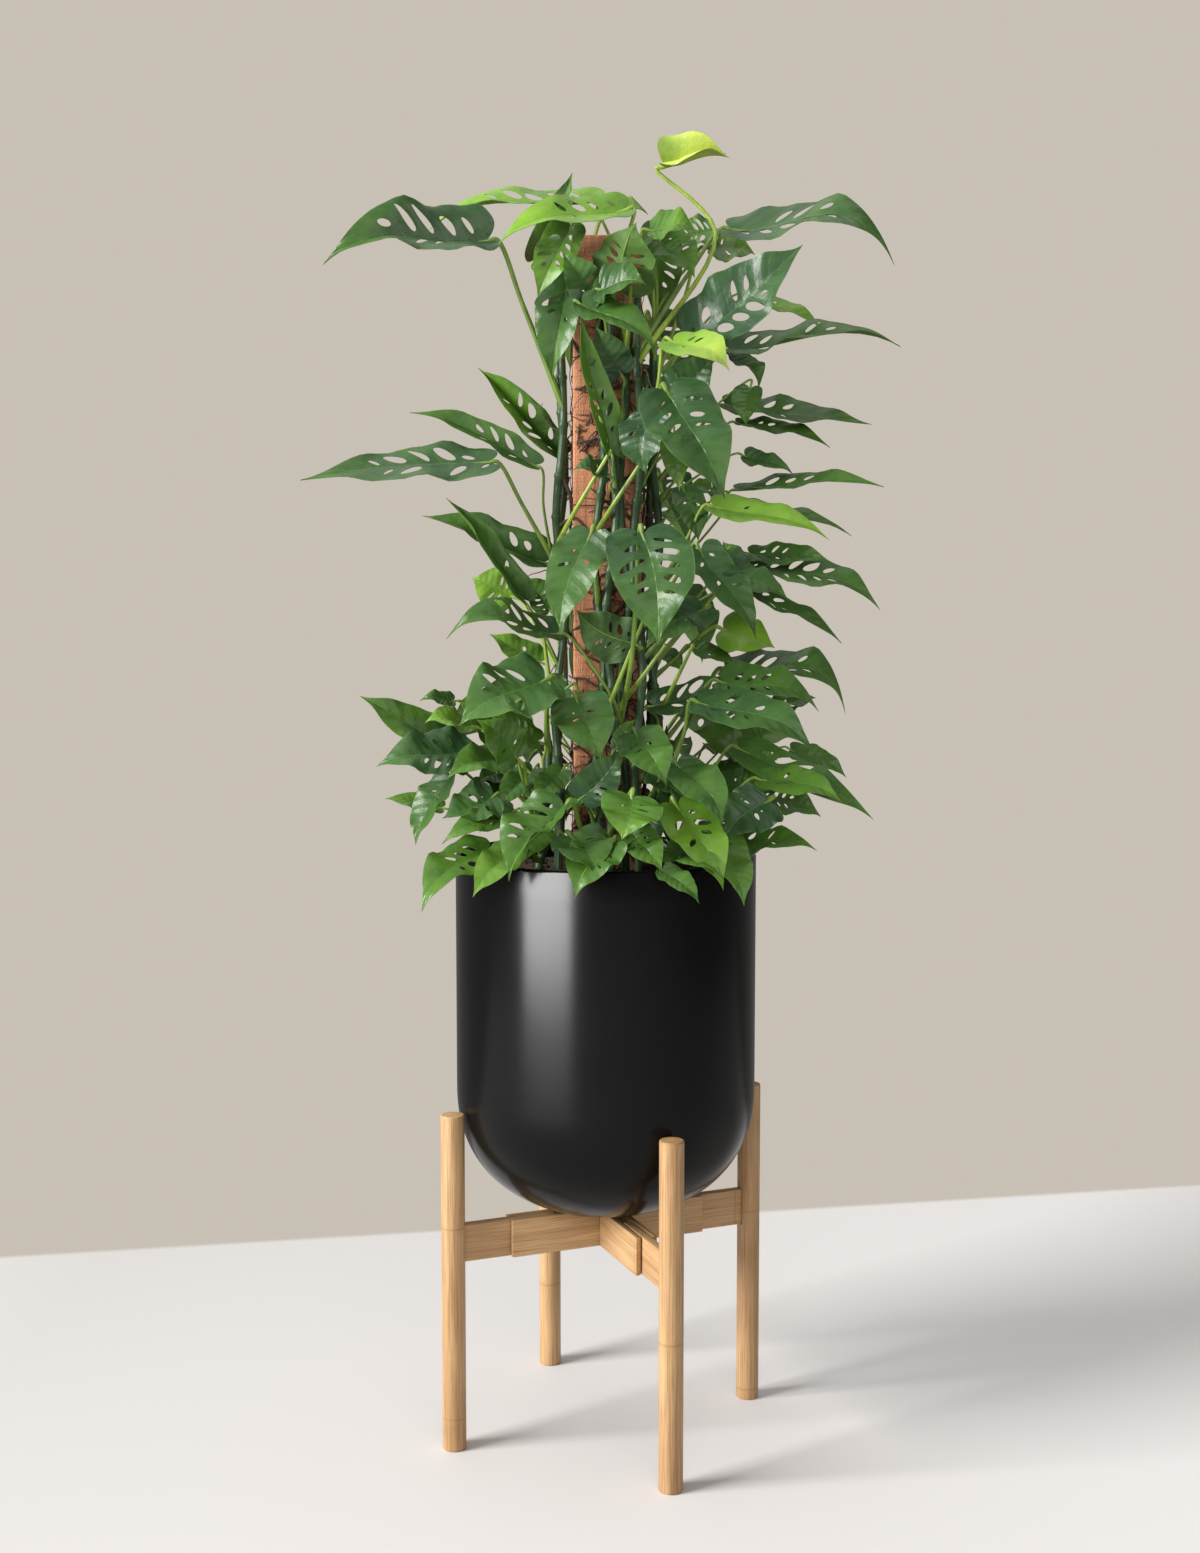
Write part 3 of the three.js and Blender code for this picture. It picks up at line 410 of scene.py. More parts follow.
        ((-115, 20, 740), (-160, 10, 790), 34, 45, 0, 10, 0.1, 1, 60, 0.5),
        ((-100, 70, 690), (-135, 115, 655), 34, 45, 205, 12, 0.12, 1, 60, 0.3),
        ((-70, 85, 700), (-85, 150, 660), 34, 48, 195, 10, 0.12, 1, 60, 0.35),
        ((-40, 80, 680), (-45, 140, 645), 32, 45, 185, 10, 0.1, 0, 60, 0.45),
        ((-90, 45, 660), (-140, 75, 640), 30, 35, 210, 10, 0.1, 0, 40, 0.4),
        ((-55, 70, 660), (-70, 120, 640), 30, 40, 190, 8, 0.1, 0, 40, 0.3),
        ((-110, 60, 730), (-160, 100, 700), 34, 42, 210, 12, 0.12, 1, 70, 0.25),
        ((-75, 90, 735), (-90, 150, 705), 34, 50, 190, 12, 0.12, 1, 60, 0.3),
    )),
    VineRow("vine_low_front", (-6, -86), (-8, -74), 700, (
        ((-40, -130, 690), (-95, -175, 620), 76, 60, -45, 25, 0.12, 3, 60, 0.3),
        ((-35, -140, 660), (-10, -180, 625), 58, 50, 10, 6, 0.12, 1, 40, 0.25),
        ((-25, -95, 695), (15, -100, 745), 42, 80, 0, 6, 0.05, 1, 30, 0.1),
        ((25, -135, 700), (15, -165, 660), 62, 50, 0, 4, 0.12, 1, 60, 0.42),
        ((25, -140, 665), (55, -170, 630), 40, 50, 0, 8, 0.1, 2, 40, 0.35),
        ((5, -150, 655), (-30, -185, 605), 54, 45, -10, 10, 0.15, 2, 40, 0.36),
        ((40, -80, 655), (60, -85, 685), 40, 60, 0, 8, 0.08, 0, 50, 0.1),
        ((-60, -120, 665), (-90, -150, 630), 32, 45, 0, 10, 0.1, 0, 40, 0.45),
        ((-45, -60, 720), (-75, -90, 685), 32, 45, 0, 10, 0.1, 0, 50, 0.3),
    )),
    VineRow("vine_low_right", (74, -52), (64, -50), 740, (
        ((70, -115, 690), (115, -160, 610), 56, 50, 10, 8, 0.12, 2, 60, 0.58),
        ((60, -130, 645), (115, -170, 620), 38, 45, 10, 8, 0.15, 1, 30, 0.3),
        ((120, -120, 645), (135, -165, 595), 40, 50, 20, 8, 0.15, 0, 40, 0.42),
        ((95, -70, 790), (210, -100, 740), 56, 45, 10, 6, 0.14, 2, 80, 0.15),
        ((140, -30, 740), (275, -70, 670), 48, 42, 10, 6, 0.06, 3, 80, 0.3),
        ((125, -20, 700), (180, -20, 710), 40, 45, 0, 6, 0.1, 1, 60, 0.3),
        ((160, -60, 710), (240, -85, 690), 42, 40, 0, 8, 0.1, 1, 80, 0.42),
        ((165, -85, 690), (120, -100, 655), 58, 55, 0, 4, 0.05, 1, 60, 0.1),
        ((135, -70, 645), (215, -90, 640), 40, 35, 10, 8, 0.12, 2, 30, 0.35),
        ((55, -160, 630), (90, -180, 600), 26, 45, 10, 8, 0.1, 0, 30, 0.3),
        ((90, -40, 685), (45, -70, 680), 34, 45, 0, 10, 0.1, 0, 50, 0.15),
        ((95, -60, 660), (150, -95, 625), 34, 45, 0, 10, 0.15, 0, 40, 0.4),
        ((45, -60, 720), (80, -85, 690), 32, 45, 0, 10, 0.1, 0, 50, 0.25),
    )),
    VineRow("vine_low_back_right", (76, 46), (66, 40), 745, (
        ((130, 25, 820), (255, 5, 775), 70, 30, 0, 8, 0.29, 3, 90, 0.2),
        ((165, 35, 740), (95, 30, 755), 54, 50, 0, 6, 0.05, 2, 70, 0.4),
        ((120, 15, 710), (185, 20, 725), 36, 40, 0, 6, 0.1, 0, 50, 0.3),
        ((165, 0, 685), (230, 5, 665), 46, 35, 0, 6, 0.08, 2, 60, 0.35),
        ((185, 50, 780), (230, 55, 790), 36, 35, 0, 6, 0.08, 1, 80, 0.3),
        ((155, 70, 750), (205, 80, 745), 32, 45, 0, 6, 0.1, 0, 70, 0.5),
        ((200, 25, 735), (260, 30, 705), 32, 40, 0, 6, 0.08, 0, 80, 0.35),
        ((105, 75, 690), (140, 120, 655), 34, 45, 155, 12, 0.12, 1, 60, 0.3),
        ((70, 90, 700), (80, 155, 660), 34, 48, 165, 10, 0.12, 1, 60, 0.35),
        ((35, 85, 685), (40, 145, 650), 34, 45, 175, 10, 0.1, 1, 60, 0.45),
        ((95, 50, 660), (145, 80, 640), 30, 35, 150, 10, 0.1, 0, 40, 0.4),
        ((50, 75, 660), (60, 125, 640), 30, 40, 170, 8, 0.1, 0, 40, 0.3),
        ((115, 65, 735), (160, 110, 700), 34, 42, 150, 12, 0.12, 1, 70, 0.25),
        ((0, 95, 670), (5, 150, 645), 34, 42, 180, 10, 0.12, 1, 50, 0.4),
        ((80, 95, 740), (95, 155, 710), 34, 50, 170, 12, 0.12, 1, 60, 0.3),
    )),
)


def read_stem(row: VineRow, index: int) -> Stem:
    """Turns a row of the plan into a stem in metres.

    Args:
        row: the row.
        index: its place in the plan, which sets the sway.

    Returns:
        The stem.
    """
    low = Vector((*row.low, 0.0)) * MM
    high = Vector((*row.high, 0.0)) * MM
    return Stem(row.name, low, high, row.top * MM, index * STEM_PHASE)


def read_leaf(row: tuple, index: int) -> Leaf:
    """Turns a leaf's row into a leaf in metres and radians.

    Args:
        row: base, tip, width, tilt, turn, fold, arch, holes, drop, tone and perhaps via.
        index: its place on the vine, which sets the wave of its edge.

    Returns:
        The leaf.
    """
    base, tip, width, tilt, turn, fold, arch, holes, drop, tone, *via = row
    return Leaf(
        base=Vector(base) * MM,
        tip=Vector(tip) * MM,
        width=width * MM,
        tilt=math.radians(tilt),
        turn=math.radians(turn),
        fold=math.radians(fold),
        arch=arch,
        pierced=Pierced(holes),
        drop=drop * MM,
        tone=tone,
        via=Vector(via[0]) * MM if via else None,
        phase=index * LEAF_PHASE,
    )


class Bench:
    """Short calls for modelling by hand: nothing stays selected between them."""

    @staticmethod
    def clear() -> None:
        """Deselects everything and leaves edit mode."""
        if bpy.context.object and bpy.context.object.mode != "OBJECT":
            bpy.ops.object.mode_set(mode="OBJECT")
        bpy.ops.object.select_all(action="DESELECT")

    @staticmethod
    def pick(piece: bpy.types.Object) -> None:
        """Makes one object the only selected and active one.

        Args:
            piece: the object.
        """
        Bench.clear()
        piece.select_set(True)
        bpy.context.view_layer.objects.active = piece

    @staticmethod
    def apply_modifiers(piece: bpy.types.Object) -> None:
        """Applies every modifier of an object in order.

        Args:
            piece: the object.
        """
        Bench.pick(piece)
        for modifier in list(piece.modifiers):
            bpy.ops.object.modifier_apply(modifier=modifier.name)

    @staticmethod
    def settle(piece: bpy.types.Object) -> None:
        """Applies an object's place, turn and scale to its mesh.

        Args:
            piece: the object.
        """
        Bench.pick(piece)
        bpy.ops.object.transform_apply(location=True, rotation=True, scale=True)

    @staticmethod
    def block(name: str, size: tuple, centre: tuple) -> bpy.types.Object:
        """Adds a box of a size at a place.

        Args:
            name: the piece's name.
            size: its three sizes, metres.
            centre: its middle, metres.

        Returns:
            The new object.
        """
        Bench.clear()
        bpy.ops.mesh.primitive_cube_add(size=1.0, location=centre)
        piece = bpy.context.object
        piece.name = name
        piece.scale = size
        Bench.settle(piece)
        return piece

    @staticmethod
    def cut(piece: bpy.types.Object, cutter: bpy.types.Object) -> None:
        """Cuts one object from another and removes the cutter.

        Args:
            piece: the object that stays.
            cutter: the object that is cut away.
        """
        modifier = piece.modifiers.new("cut", "BOOLEAN")
        modifier.operation = "DIFFERENCE"
        modifier.solver = "EXACT"
        modifier.object = cutter
        Bench.apply_modifiers(piece)
        bpy.data.objects.remove(cutter)

    @staticmethod
    def soften(piece: bpy.types.Object, width: float, segments: int, angle: float = 40.0) -> None:
        """Rounds an object's edges and shades it smooth up to an angle.

        Args:
            piece: the object.
            width: width of the rounding, metres.
            segments: faces across the rounding.
            angle: edges flatter than this many degrees stay as they are.
        """
        modifier = piece.modifiers.new("soften", "BEVEL")
        modifier.width = width
        modifier.segments = segments
        modifier.limit_method = "ANGLE"
        modifier.angle_limit = math.radians(angle)
        modifier.harden_normals = False
        Bench.apply_modifiers(piece)
        Bench.shade(piece)

    @staticmethod
    def shade(piece: bpy.types.Object, angle: float = 35.0) -> None:
        """Shades an object smooth up to an angle.

        Args:
            piece: the object.
            angle: edges bent by more than this many degrees stay crisp.
        """
        Bench.pick(piece)
        bpy.ops.object.shade_smooth_by_angle(angle=math.radians(angle))

    @staticmethod
    def turned(name: str, profile: list, sides: int) -> bpy.types.Object:
        """Spins a profile round the Z axis into a closed body.

        Args:
            name: the piece's name.
            profile: radius and height of each point, from the axis round to the axis.
            sides: how many faces go round.

        Returns:
            The new object.
        """
        mesh = bpy.data.meshes.new(name)
        points = [(radius, 0.0, height) for radius, height in profile]
        mesh.from_pydata(points, [(i, i + 1) for i in range(len(points) - 1)], [])
        piece = bpy.data.objects.new(name, mesh)
        bpy.context.scene.collection.objects.link(piece)
        Bench.pick(piece)
        bpy.ops.object.mode_set(mode="EDIT")
        bpy.ops.mesh.select_all(action="SELECT")
        bpy.ops.mesh.spin(steps=sides, angle=2 * math.pi, center=(0, 0, 0), axis=(0, 0, 1))
        bpy.ops.mesh.select_all(action="SELECT")
        bpy.ops.mesh.remove_doubles(threshold=0.00002)
        bpy.ops.mesh.normals_make_consistent(inside=False)
        bpy.ops.object.mode_set(mode="OBJECT")
        return piece

    @staticmethod
    def finish(
        piece: bpy.types.Object, look: bpy.types.Material | None, body: str, slot: str, nodes: tuple
    ) -> None:
        """Dresses a piece, puts it on its body and lets it stand for its solids.

        Args:
            piece: the finished object, at the origin.
            look: its material, or None if it has its materials.
            body: the body that it rides on.
            slot: the record's material slot; not used.
            nodes: the solids that it stands for.
        """
        if look is not None:
            piece.data.materials.clear()
            piece.data.materials.append(look)
        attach(piece, body)
        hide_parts(*nodes)
        LOG.info("%s: %d faces", piece.name, len(piece.data.polygons))


class Graph:
    """A material's node tree, with short calls to add and join nodes."""

    def __init__(self, name: str) -> None:
        """Starts a material with its surface shader.

        Args:
            name: the material's name.
        """
        self.material = bpy.data.materials.new(name)
        self.material.use_nodes = True
        self.nodes = self.material.node_tree.nodes
        self.links = self.material.node_tree.links
        self.surface = next(node for node in self.nodes if node.type == "BSDF_PRINCIPLED")

    def add(self, kind: str, inputs: dict | None = None, **settings: object) -> bpy.types.Node:
        """Adds a node.

        Args:
            kind: the node's type name.
            inputs: values or output sockets for its inputs, by name or place.
            settings: the node's own properties.

        Returns:
            The node.
        """
        node = self.nodes.new(kind)
        for key, value in settings.items():
            setattr(node, key, value)
        for key, value in (inputs or {}).items():
            self.feed(node.inputs[key], value)
        return node

    def feed(self, socket: bpy.types.NodeSocket, value: object) -> None:
        """Links or sets an input.

        Args:
            socket: the input.
            value: a socket to link, a colour of three parts or another value.
        """
        if isinstance(value, bpy.types.NodeSocket):
            self.links.new(value, socket)
        elif socket.type == "RGBA" and len(value) == 3:
            socket.default_value = (*value, 1.0)
        else:
            socket.default_value = value

    def math(
        self, operation: str, first: object, second: object = 0.0, third: object = 0.0
    ) -> bpy.types.NodeSocket:
        """Adds a sum or other calculation on numbers.

        Args:
            operation: the calculation's name.
            first: a value or socket.
            second: a value or socket.
            third: a value or socket.

        Returns:
            The result's socket.
        """
        node = self.add("ShaderNodeMath", {0: first, 1: second, 2: third}, operation=operation)
        return node.outputs[0]

    def ramp(self, factor: object, stops: list) -> bpy.types.NodeSocket:
        """Adds a colour ramp.

        Args:
            factor: the socket that drives it.
            stops: position and colour of each stop.

        Returns:
            The colour's socket.
        """
        node = self.add("ShaderNodeValToRGB", {0: factor})
        elements = node.color_ramp.elements
        while len(elements) < len(stops):
            elements.new(0.5)
        for element, (position, colour) in zip(elements, stops):
            element.position = position
            element.color = (*colour, 1.0)
        return node.outputs[0]

    def fade(self, factor: object, none: float, full: float) -> bpy.types.NodeSocket:
        """Runs from 0 to 1 as a value runs from one limit to another.

        Args:
            factor: the value's socket.
            none: the value that gives 0.
            full: the value that gives 1.

        Returns:
            The socket.
        """
        return self.ramp(factor, sorted([(none, BLACK), (full, WHITE)]))

    def mix(self, factor: object, first: object, second: object, blend: str = "MIX") -> bpy.types.NodeSocket:
        """Mixes two colours.

        Args:
            factor: how much of the second, a value or socket.
            first: a colour or socket.
            second: a colour or socket.
            blend: how they mix.

        Returns:
            The colour's socket.
        """
        node = self.add("ShaderNodeMix", data_type="RGBA", blend_type=blend)
        for place, value in ((0, factor), (6, first), (7, second)):
            self.feed(node.inputs[place], value)
        return node.outputs[2]

    def noise(
        self, vector: object, scale: float, detail: float = 4.0, roughness: float = 0.55
    ) -> bpy.types.NodeSocket:
        """Adds cloudy noise.

        Args:
            vector: the socket of the coordinates.
            scale: how fine it is.
            detail: how many finer layers it has.
            roughness: how strong they are.

        Returns:
            The noise's socket, about 0 to 1.
        """
        values = {"Vector": vector, "Scale": scale, "Detail": detail, "Roughness": roughness}
        return self.add("ShaderNodeTexNoise", values).outputs[0]

    def place(self, scale: tuple = (1, 1, 1), turn: float = 0.0) -> bpy.types.NodeSocket:
        """Gives Object coordinates, turned about Z and stretched.

        Args:
            scale: the stretch along each axis.
            turn: the turn about Z, radians.

        Returns:
            The coordinates' socket.
        """
        where = self.add("ShaderNodeTexCoord").outputs["Object"]
        turned = self.add("ShaderNodeMapping", {"Vector": where, "Rotation": (0, 0, turn)})
        return self.add("ShaderNodeMapping", {"Vector": turned.outputs[0], "Scale": scale}).outputs[0]

    def bump(
        self, height: object, strength: float, distance: float, under: object = None
    ) -> bpy.types.NodeSocket:
        """Adds relief.

        Args:
            height: the socket of the relief's height.
            strength: how strongly it shows.
            distance: its depth, metres.
            under: a coarser relief that it lies on.

        Returns:
            The normal's socket.
        """
        values = {"Height": height, "Strength": strength, "Distance": distance}
        if under is not None:
            values["Normal"] = under
        return self.add("ShaderNodeBump", values).outputs[0]

    def wear(self, **sockets: object) -> bpy.types.Material:
        """Sets the surface shader's sockets and hands the material over.

        Args:
            sockets: values or sockets by name, with _ for a space.

        Returns:
            The material.
        """
        for key, value in sockets.items():
            self.feed(self.surface.inputs[key.replace("_", " ")], value)
        return self.material


@dataclass(frozen=True)
class BambooFinish:
    """Satin light bamboo with long fibres, darker streaks and a ring where the cane had a joint.

    Args:
        grain: which way its fibres run.
    """

    grain: Grain
    pale: tuple = (0.585, 0.375, 0.182)
    warm: tuple = (0.45, 0.258, 0.108)
    dark: tuple = (0.24, 0.115, 0.045)
    between_fibres: tuple = (0.56, 0.50, 0.43)
    blotch: tuple = (0.78, 0.70, 0.63)
    fine_scale: tuple = (760, 760, 14)
    wide_scale: tuple = (95, 95, 3.5)
    blotch_scale: tuple = (9, 9, 9)
    ring_spacing: float = 0.205

    def make(self) -> bpy.types.Material:
        """Builds the material.

        Returns:
            The material.
        """
        graph = Graph(f"bamboo_{self.grain.value}")
        upright = self.grain is Grain.UP
        turn = {
            Grain.UP: 0.0,
            Grain.ALONG_LONG_BEAM: -STAND_TURN,
            Grain.ALONG_CROSS_BEAM: -STAND_TURN - math.pi / 2,
        }[self.grain]
        fine_scale = self.fine_scale if upright else self.fine_scale[::-1]
        wide_scale = self.wide_scale if upright else self.wide_scale[::-1]
        fibres = graph.noise(graph.place(fine_scale, turn), 1.0, 4.0, 0.62)
        streaks = graph.noise(graph.place(wide_scale, turn), 1.0, 4.0, 0.6)
        blotches = graph.noise(graph.place(self.blotch_scale, turn), 1.0, 2.0)
        base = graph.ramp(streaks, [(0.32, self.warm), (0.60, self.pale)])
        fine = graph.ramp(fibres, [(0.36, self.between_fibres), (0.56, WHITE)])
        grained = graph.mix(0.8, base, fine, "MULTIPLY")
        clouds = graph.ramp(blotches, [(0.36, self.blotch), (0.62, WHITE)])
        toned = graph.mix(0.7, grained, clouds, "MULTIPLY")
        split = graph.add("ShaderNodeSeparateXYZ", {0: graph.place((1, 1, 1), turn)})
        along = split.outputs[2] if upright else split.outputs[0]
        shifted = graph.math("MULTIPLY_ADD", graph.math("SIGN", split.outputs[0]), 0.043, along)
        shifted = graph.math("MULTIPLY_ADD", graph.math("SIGN", split.outputs[1]), 0.071, shifted)
        wavy = graph.math("MULTIPLY_ADD", streaks, 0.003, shifted)
        cycle = graph.math("FRACT", graph.math("DIVIDE", graph.math("ADD", wavy, 1.0), self.ring_spacing))
        away = graph.math("ABSOLUTE", graph.math("SUBTRACT", cycle, 0.5))
        line = graph.fade(away, 0.006, 0.001)
        band = graph.fade(away, 0.05, 0.0)
        banded = graph.mix(graph.math("MULTIPLY", band, 0.45), toned, self.warm)
        ringed = graph.mix(graph.math("MULTIPLY", line, 0.5), banded, self.dark)
        roughness = graph.math("MULTIPLY_ADD", fibres, 0.22, 0.38)
        ridge = graph.bump(band, 0.5, 0.0006)
        relief = graph.bump(fibres, 0.4, 0.0004, ridge)
        return graph.wear(
            Base_Color=ringed, Roughness=roughness, Normal=relief, Coat_Weight=0.1, Coat_Roughness=0.35
        )


@dataclass(frozen=True)
class GlazeFinish:
    """Satin black glaze with the faintest unevenness."""

    colour: tuple = (0.0008, 0.0008, 0.0008)
    gloss: float = 0.17
    specular: float = 0.12

    def make(self) -> bpy.types.Material:
        """Builds the material.

        Returns:
            The material.
        """
        graph = Graph("satin_black_glaze")
        cloud = graph.noise(graph.place(), 9.0, 3.0)
        pores = graph.noise(graph.place(), 900.0, 2.0)
        tint = graph.ramp(cloud, [(0.3, self.colour), (0.8, tuple(1.35 * part for part in self.colour))])
        roughness = graph.math("MULTIPLY_ADD", cloud, 0.05, self.gloss)
        relief = graph.bump(pores, 0.10, 0.0003)
        return graph.wear(
            Base_Color=tint, Roughness=roughness, Normal=relief, Specular_IOR_Level=self.specular
        )


@dataclass(frozen=True)
class SoilFinish:
    """Dark potting soil with brown crumbs and pale flecks."""

    dark: tuple = (0.012, 0.008, 0.006)
    brown: tuple = (0.085, 0.048, 0.028)
    fleck: tuple = (0.30, 0.26, 0.21)

    def make(self) -> bpy.types.Material:
        """Builds the material.

        Returns:
            The material.
        """
        graph = Graph("potting_soil")
        lumps = graph.noise(graph.place(), 95.0, 6.0, 0.7)
        specks = graph.noise(graph.place(), 420.0, 2.0)
        base = graph.ramp(lumps, [(0.35, self.dark), (0.7, self.brown)])
        flecks = graph.fade(specks, 0.70, 0.73)
        relief = graph.bump(lumps, 0.9, 0.003)
        return graph.wear(Base_Color=graph.mix(flecks, base, self.fleck), Roughness=0.95, Normal=relief)


@dataclass(frozen=True)
class TimberFinish:
    """Rough-sawn reddish timber: long grain, saw marks across it and dark weathered stains."""

    bright: tuple = (0.62, 0.275, 0.140)
    mid: tuple = (0.44, 0.175, 0.085)
    stain: tuple = (0.070, 0.034, 0.022)
    saw_shade: tuple = (0.45, 0.42, 0.40)
    stain_strength: tuple = (0.8, 0.8, 0.8)

    def make(self) -> bpy.types.Material:
        """Builds the material.

        Returns:
            The material.
        """
        graph = Graph("rough_sawn_timber")
        grain = graph.noise(graph.place((230, 230, 7)), 1.0, 5.0, 0.62)
        saw = graph.noise(graph.place((16, 16, 900)), 1.0, 2.0, 0.5)
        patches = graph.noise(graph.place((14, 14, 5)), 1.0, 5.0, 0.65)
        fuzz = graph.noise(graph.place((700, 700, 260)), 1.0, 2.0, 0.6)
        base = graph.ramp(grain, [(0.30, self.mid), (0.66, self.bright)])
        marks = graph.ramp(saw, [(0.35, self.saw_shade), (0.6, WHITE)])
        marked = graph.mix(0.42, base, marks, "MULTIPLY")
        stains = graph.ramp(patches, [(0.56, BLACK), (0.80, self.stain_strength)])
        stained = graph.mix(stains, marked, self.stain)
        height = graph.math("ADD", graph.math("MULTIPLY", saw, 0.5), graph.math("ADD", grain, fuzz))
        return graph.wear(Base_Color=stained, Roughness=0.88, Normal=graph.bump(height, 0.8, 0.0011))


@dataclass(frozen=True)
class BladeFinish:
    """A leaf face: colour by age, a pale midrib and edge, side veins pressed in.

    Args:
        under: True for the paler, duller lower face.
    """

    under: bool
    old: tuple = (0.021, 0.060, 0.024)
    grown: tuple = (0.052, 0.132, 0.012)
    young: tuple = (0.15, 0.30, 0.022)
    newest: tuple = (0.40, 0.50, 0.090)
    rib: tuple = (0.11, 0.21, 0.045)
    dull: tuple = (0.12, 0.18, 0.06)
    cool: tuple = (0.66, 0.72, 0.76)
    warm: tuple = (1.3, 1.22, 1.0)

    def make(self) -> bpy.types.Material:
        """Builds the material.

        Returns:
            The material.
        """
        graph = Graph("leaf_lower_face" if self.under else "leaf_upper_face")
        tone = graph.add("ShaderNodeAttribute", attribute_name="tone").outputs["Fac"]
        rim = graph.add("ShaderNodeAttribute", attribute_name="rim").outputs["Fac"]
        place = graph.add("ShaderNodeUVMap", uv_map="blade").outputs[0]
        split = graph.add("ShaderNodeSeparateXYZ", {0: place})
        across = graph.math("ABSOLUTE", graph.math("SUBTRACT", split.outputs[0], 0.5))
        half_gap = graph.math("MULTIPLY", graph.math("GREATER_THAN", split.outputs[0], 0.5), 0.5)
        skewed = graph.math("SUBTRACT", split.outputs[1], graph.math("MULTIPLY", rim, VEIN_SKEW))
        curled = graph.math("MULTIPLY", graph.math("MULTIPLY", rim, rim), VEIN_CURL)
        start = graph.math("DIVIDE", graph.math("SUBTRACT", skewed, curled), VEIN_SPACING)
        cycle = graph.math("FRACT", graph.math("SUBTRACT", graph.math("ADD", start, 8.0), half_gap))
        off_vein = graph.math("ABSOLUTE", graph.math("SUBTRACT", cycle, 0.5))
        veins = graph.fade(off_vein, 0.055, 0.0)
        midrib = graph.fade(across, 0.011, 0.003)
        edge = graph.fade(rim, 0.965, 0.995)
        broad = graph.noise(graph.place(), 26.0, 3.0)
        fine = graph.noise(graph.place(), 240.0, 3.0, 0.6)
        lumps = graph.noise(graph.place(), 95.0, 2.0)
        age = graph.math("ADD", tone, graph.math("MULTIPLY_ADD", split.outputs[1], 0.20, -0.09))
        ages = [(0.0, self.old), (0.40, self.grown), (0.80, self.young), (1.0, self.newest)]
        aged = graph.ramp(age, ages)
        shade = graph.ramp(broad, [(0.3, self.cool), (0.7, self.warm)])
        mottled = graph.mix(1.0, aged, shade, "MULTIPLY")
        if self.under:
            mottled = graph.mix(0.20, mottled, self.dull)
        fade = graph.math("MULTIPLY", veins, graph.math("SUBTRACT", 0.22, graph.math("MULTIPLY", rim, 0.18)))
        veined = graph.mix(fade, mottled, self.rib)
        ribbed = graph.mix(graph.math("MULTIPLY", midrib, 0.42), veined, self.rib)
        edged = graph.mix(graph.math("MULTIPLY", edge, 0.45), ribbed, self.rib)
        quilt = graph.math("MULTIPLY", off_vein, graph.math("SUBTRACT", 1.0, midrib))
        softened = graph.math("MULTIPLY", quilt, graph.math("MULTIPLY_ADD", tone, -0.85, 1.0))
        relief = graph.bump(softened, 0.5, 0.0018)
        crinkled = graph.bump(lumps, 0.34, 0.0022, relief)
        skin = graph.bump(fine, 0.10, 0.0005, crinkled)
        roughness = graph.math("MULTIPLY_ADD", fine, 0.20, 0.54 if self.under else 0.27)
        gloss = 0.25 if self.under else 0.36
        return graph.wear(Base_Color=edged, Roughness=roughness, Normal=skin, Specular_IOR_Level=gloss)


@dataclass(frozen=True)
class StalkFinish:
    """Leaf stalks and stems: green by age, with long streaks.

    Args:
        name: the material's name.
        old: colour at tone 0.
        young: colour at tone 1.
    """

    name: str
    old: tuple
    young: tuple

    def make(self) -> bpy.types.Material:
        """Builds the material.

        Returns:
            The material.
        """
        graph = Graph(self.name)
        tone = graph.add("ShaderNodeAttribute", attribute_name="tone").outputs["Fac"]
        streaks = graph.noise(graph.place((180, 180, 22)), 1.0, 4.0)
        aged = graph.ramp(tone, [(0.0, self.old), (1.0, self.young)])
        shade = graph.ramp(streaks, [(0.3, (0.66, 0.70, 0.74)), (0.7, (1.2, 1.15, 1.0))])
        roughness = graph.math("MULTIPLY_ADD", streaks, 0.2, 0.34)
        return graph.wear(
            Base_Color=graph.mix(1.0, aged, shade, "MULTIPLY"),
            Roughness=roughness,
            Normal=graph.bump(streaks, 0.4, 0.0006),
            Specular_IOR_Level=0.35,
        )


@dataclass(frozen=True)
class RootFinish:
    """Dry dark brown aerial roots and sheaths."""

    dark: tuple = (0.028, 0.016, 0.011)
    brown: tuple = (0.120, 0.064, 0.038)

    def make(self) -> bpy.types.Material:
        """Builds the material.

        Returns:
            The material.
        """
        graph = Graph("aerial_root")
        bark = graph.noise(graph.place(), 260.0, 4.0, 0.65)
        colour = graph.ramp(bark, [(0.36, self.dark), (0.70, self.brown)])
        return graph.wear(Base_Color=colour, Roughness=0.8, Normal=graph.bump(bark, 0.8, 0.0008))


def smooth_line(points: list, steps: int) -> list:
    """Runs a smooth line through a few points.

    Args:
        points: the points, in order.
        steps: how many parts each span is cut into.

    Returns:
        The points of the line, with the given ones among them.
    """
    outer = [2 * points[0] - points[1], *points, 2 * points[-1] - points[-2]]
    line = []
    for before, start, end, after in zip(outer, outer[1:], outer[2:], outer[3:]):
        first = (start - before).length ** 0.5
        middle = (end - start).length ** 0.5
        last = (after - end).length ** 0.5
        pace = (end - start) / middle
        leaving = middle * ((start - before) / first - (end - before) / (first + middle) + pace)
        arriving = middle * (pace - (after - start) / (middle + last) + (after - end) / last)
        for step in range(steps):
            at = step / steps
            rest = 1 - at
            point = start * (1 + 2 * at) * rest * rest + end * (3 - 2 * at) * at * at
            line.append(point + leaving * at * rest * rest - arriving * at * at * rest)
    line.append(points[-1].copy())
    return line


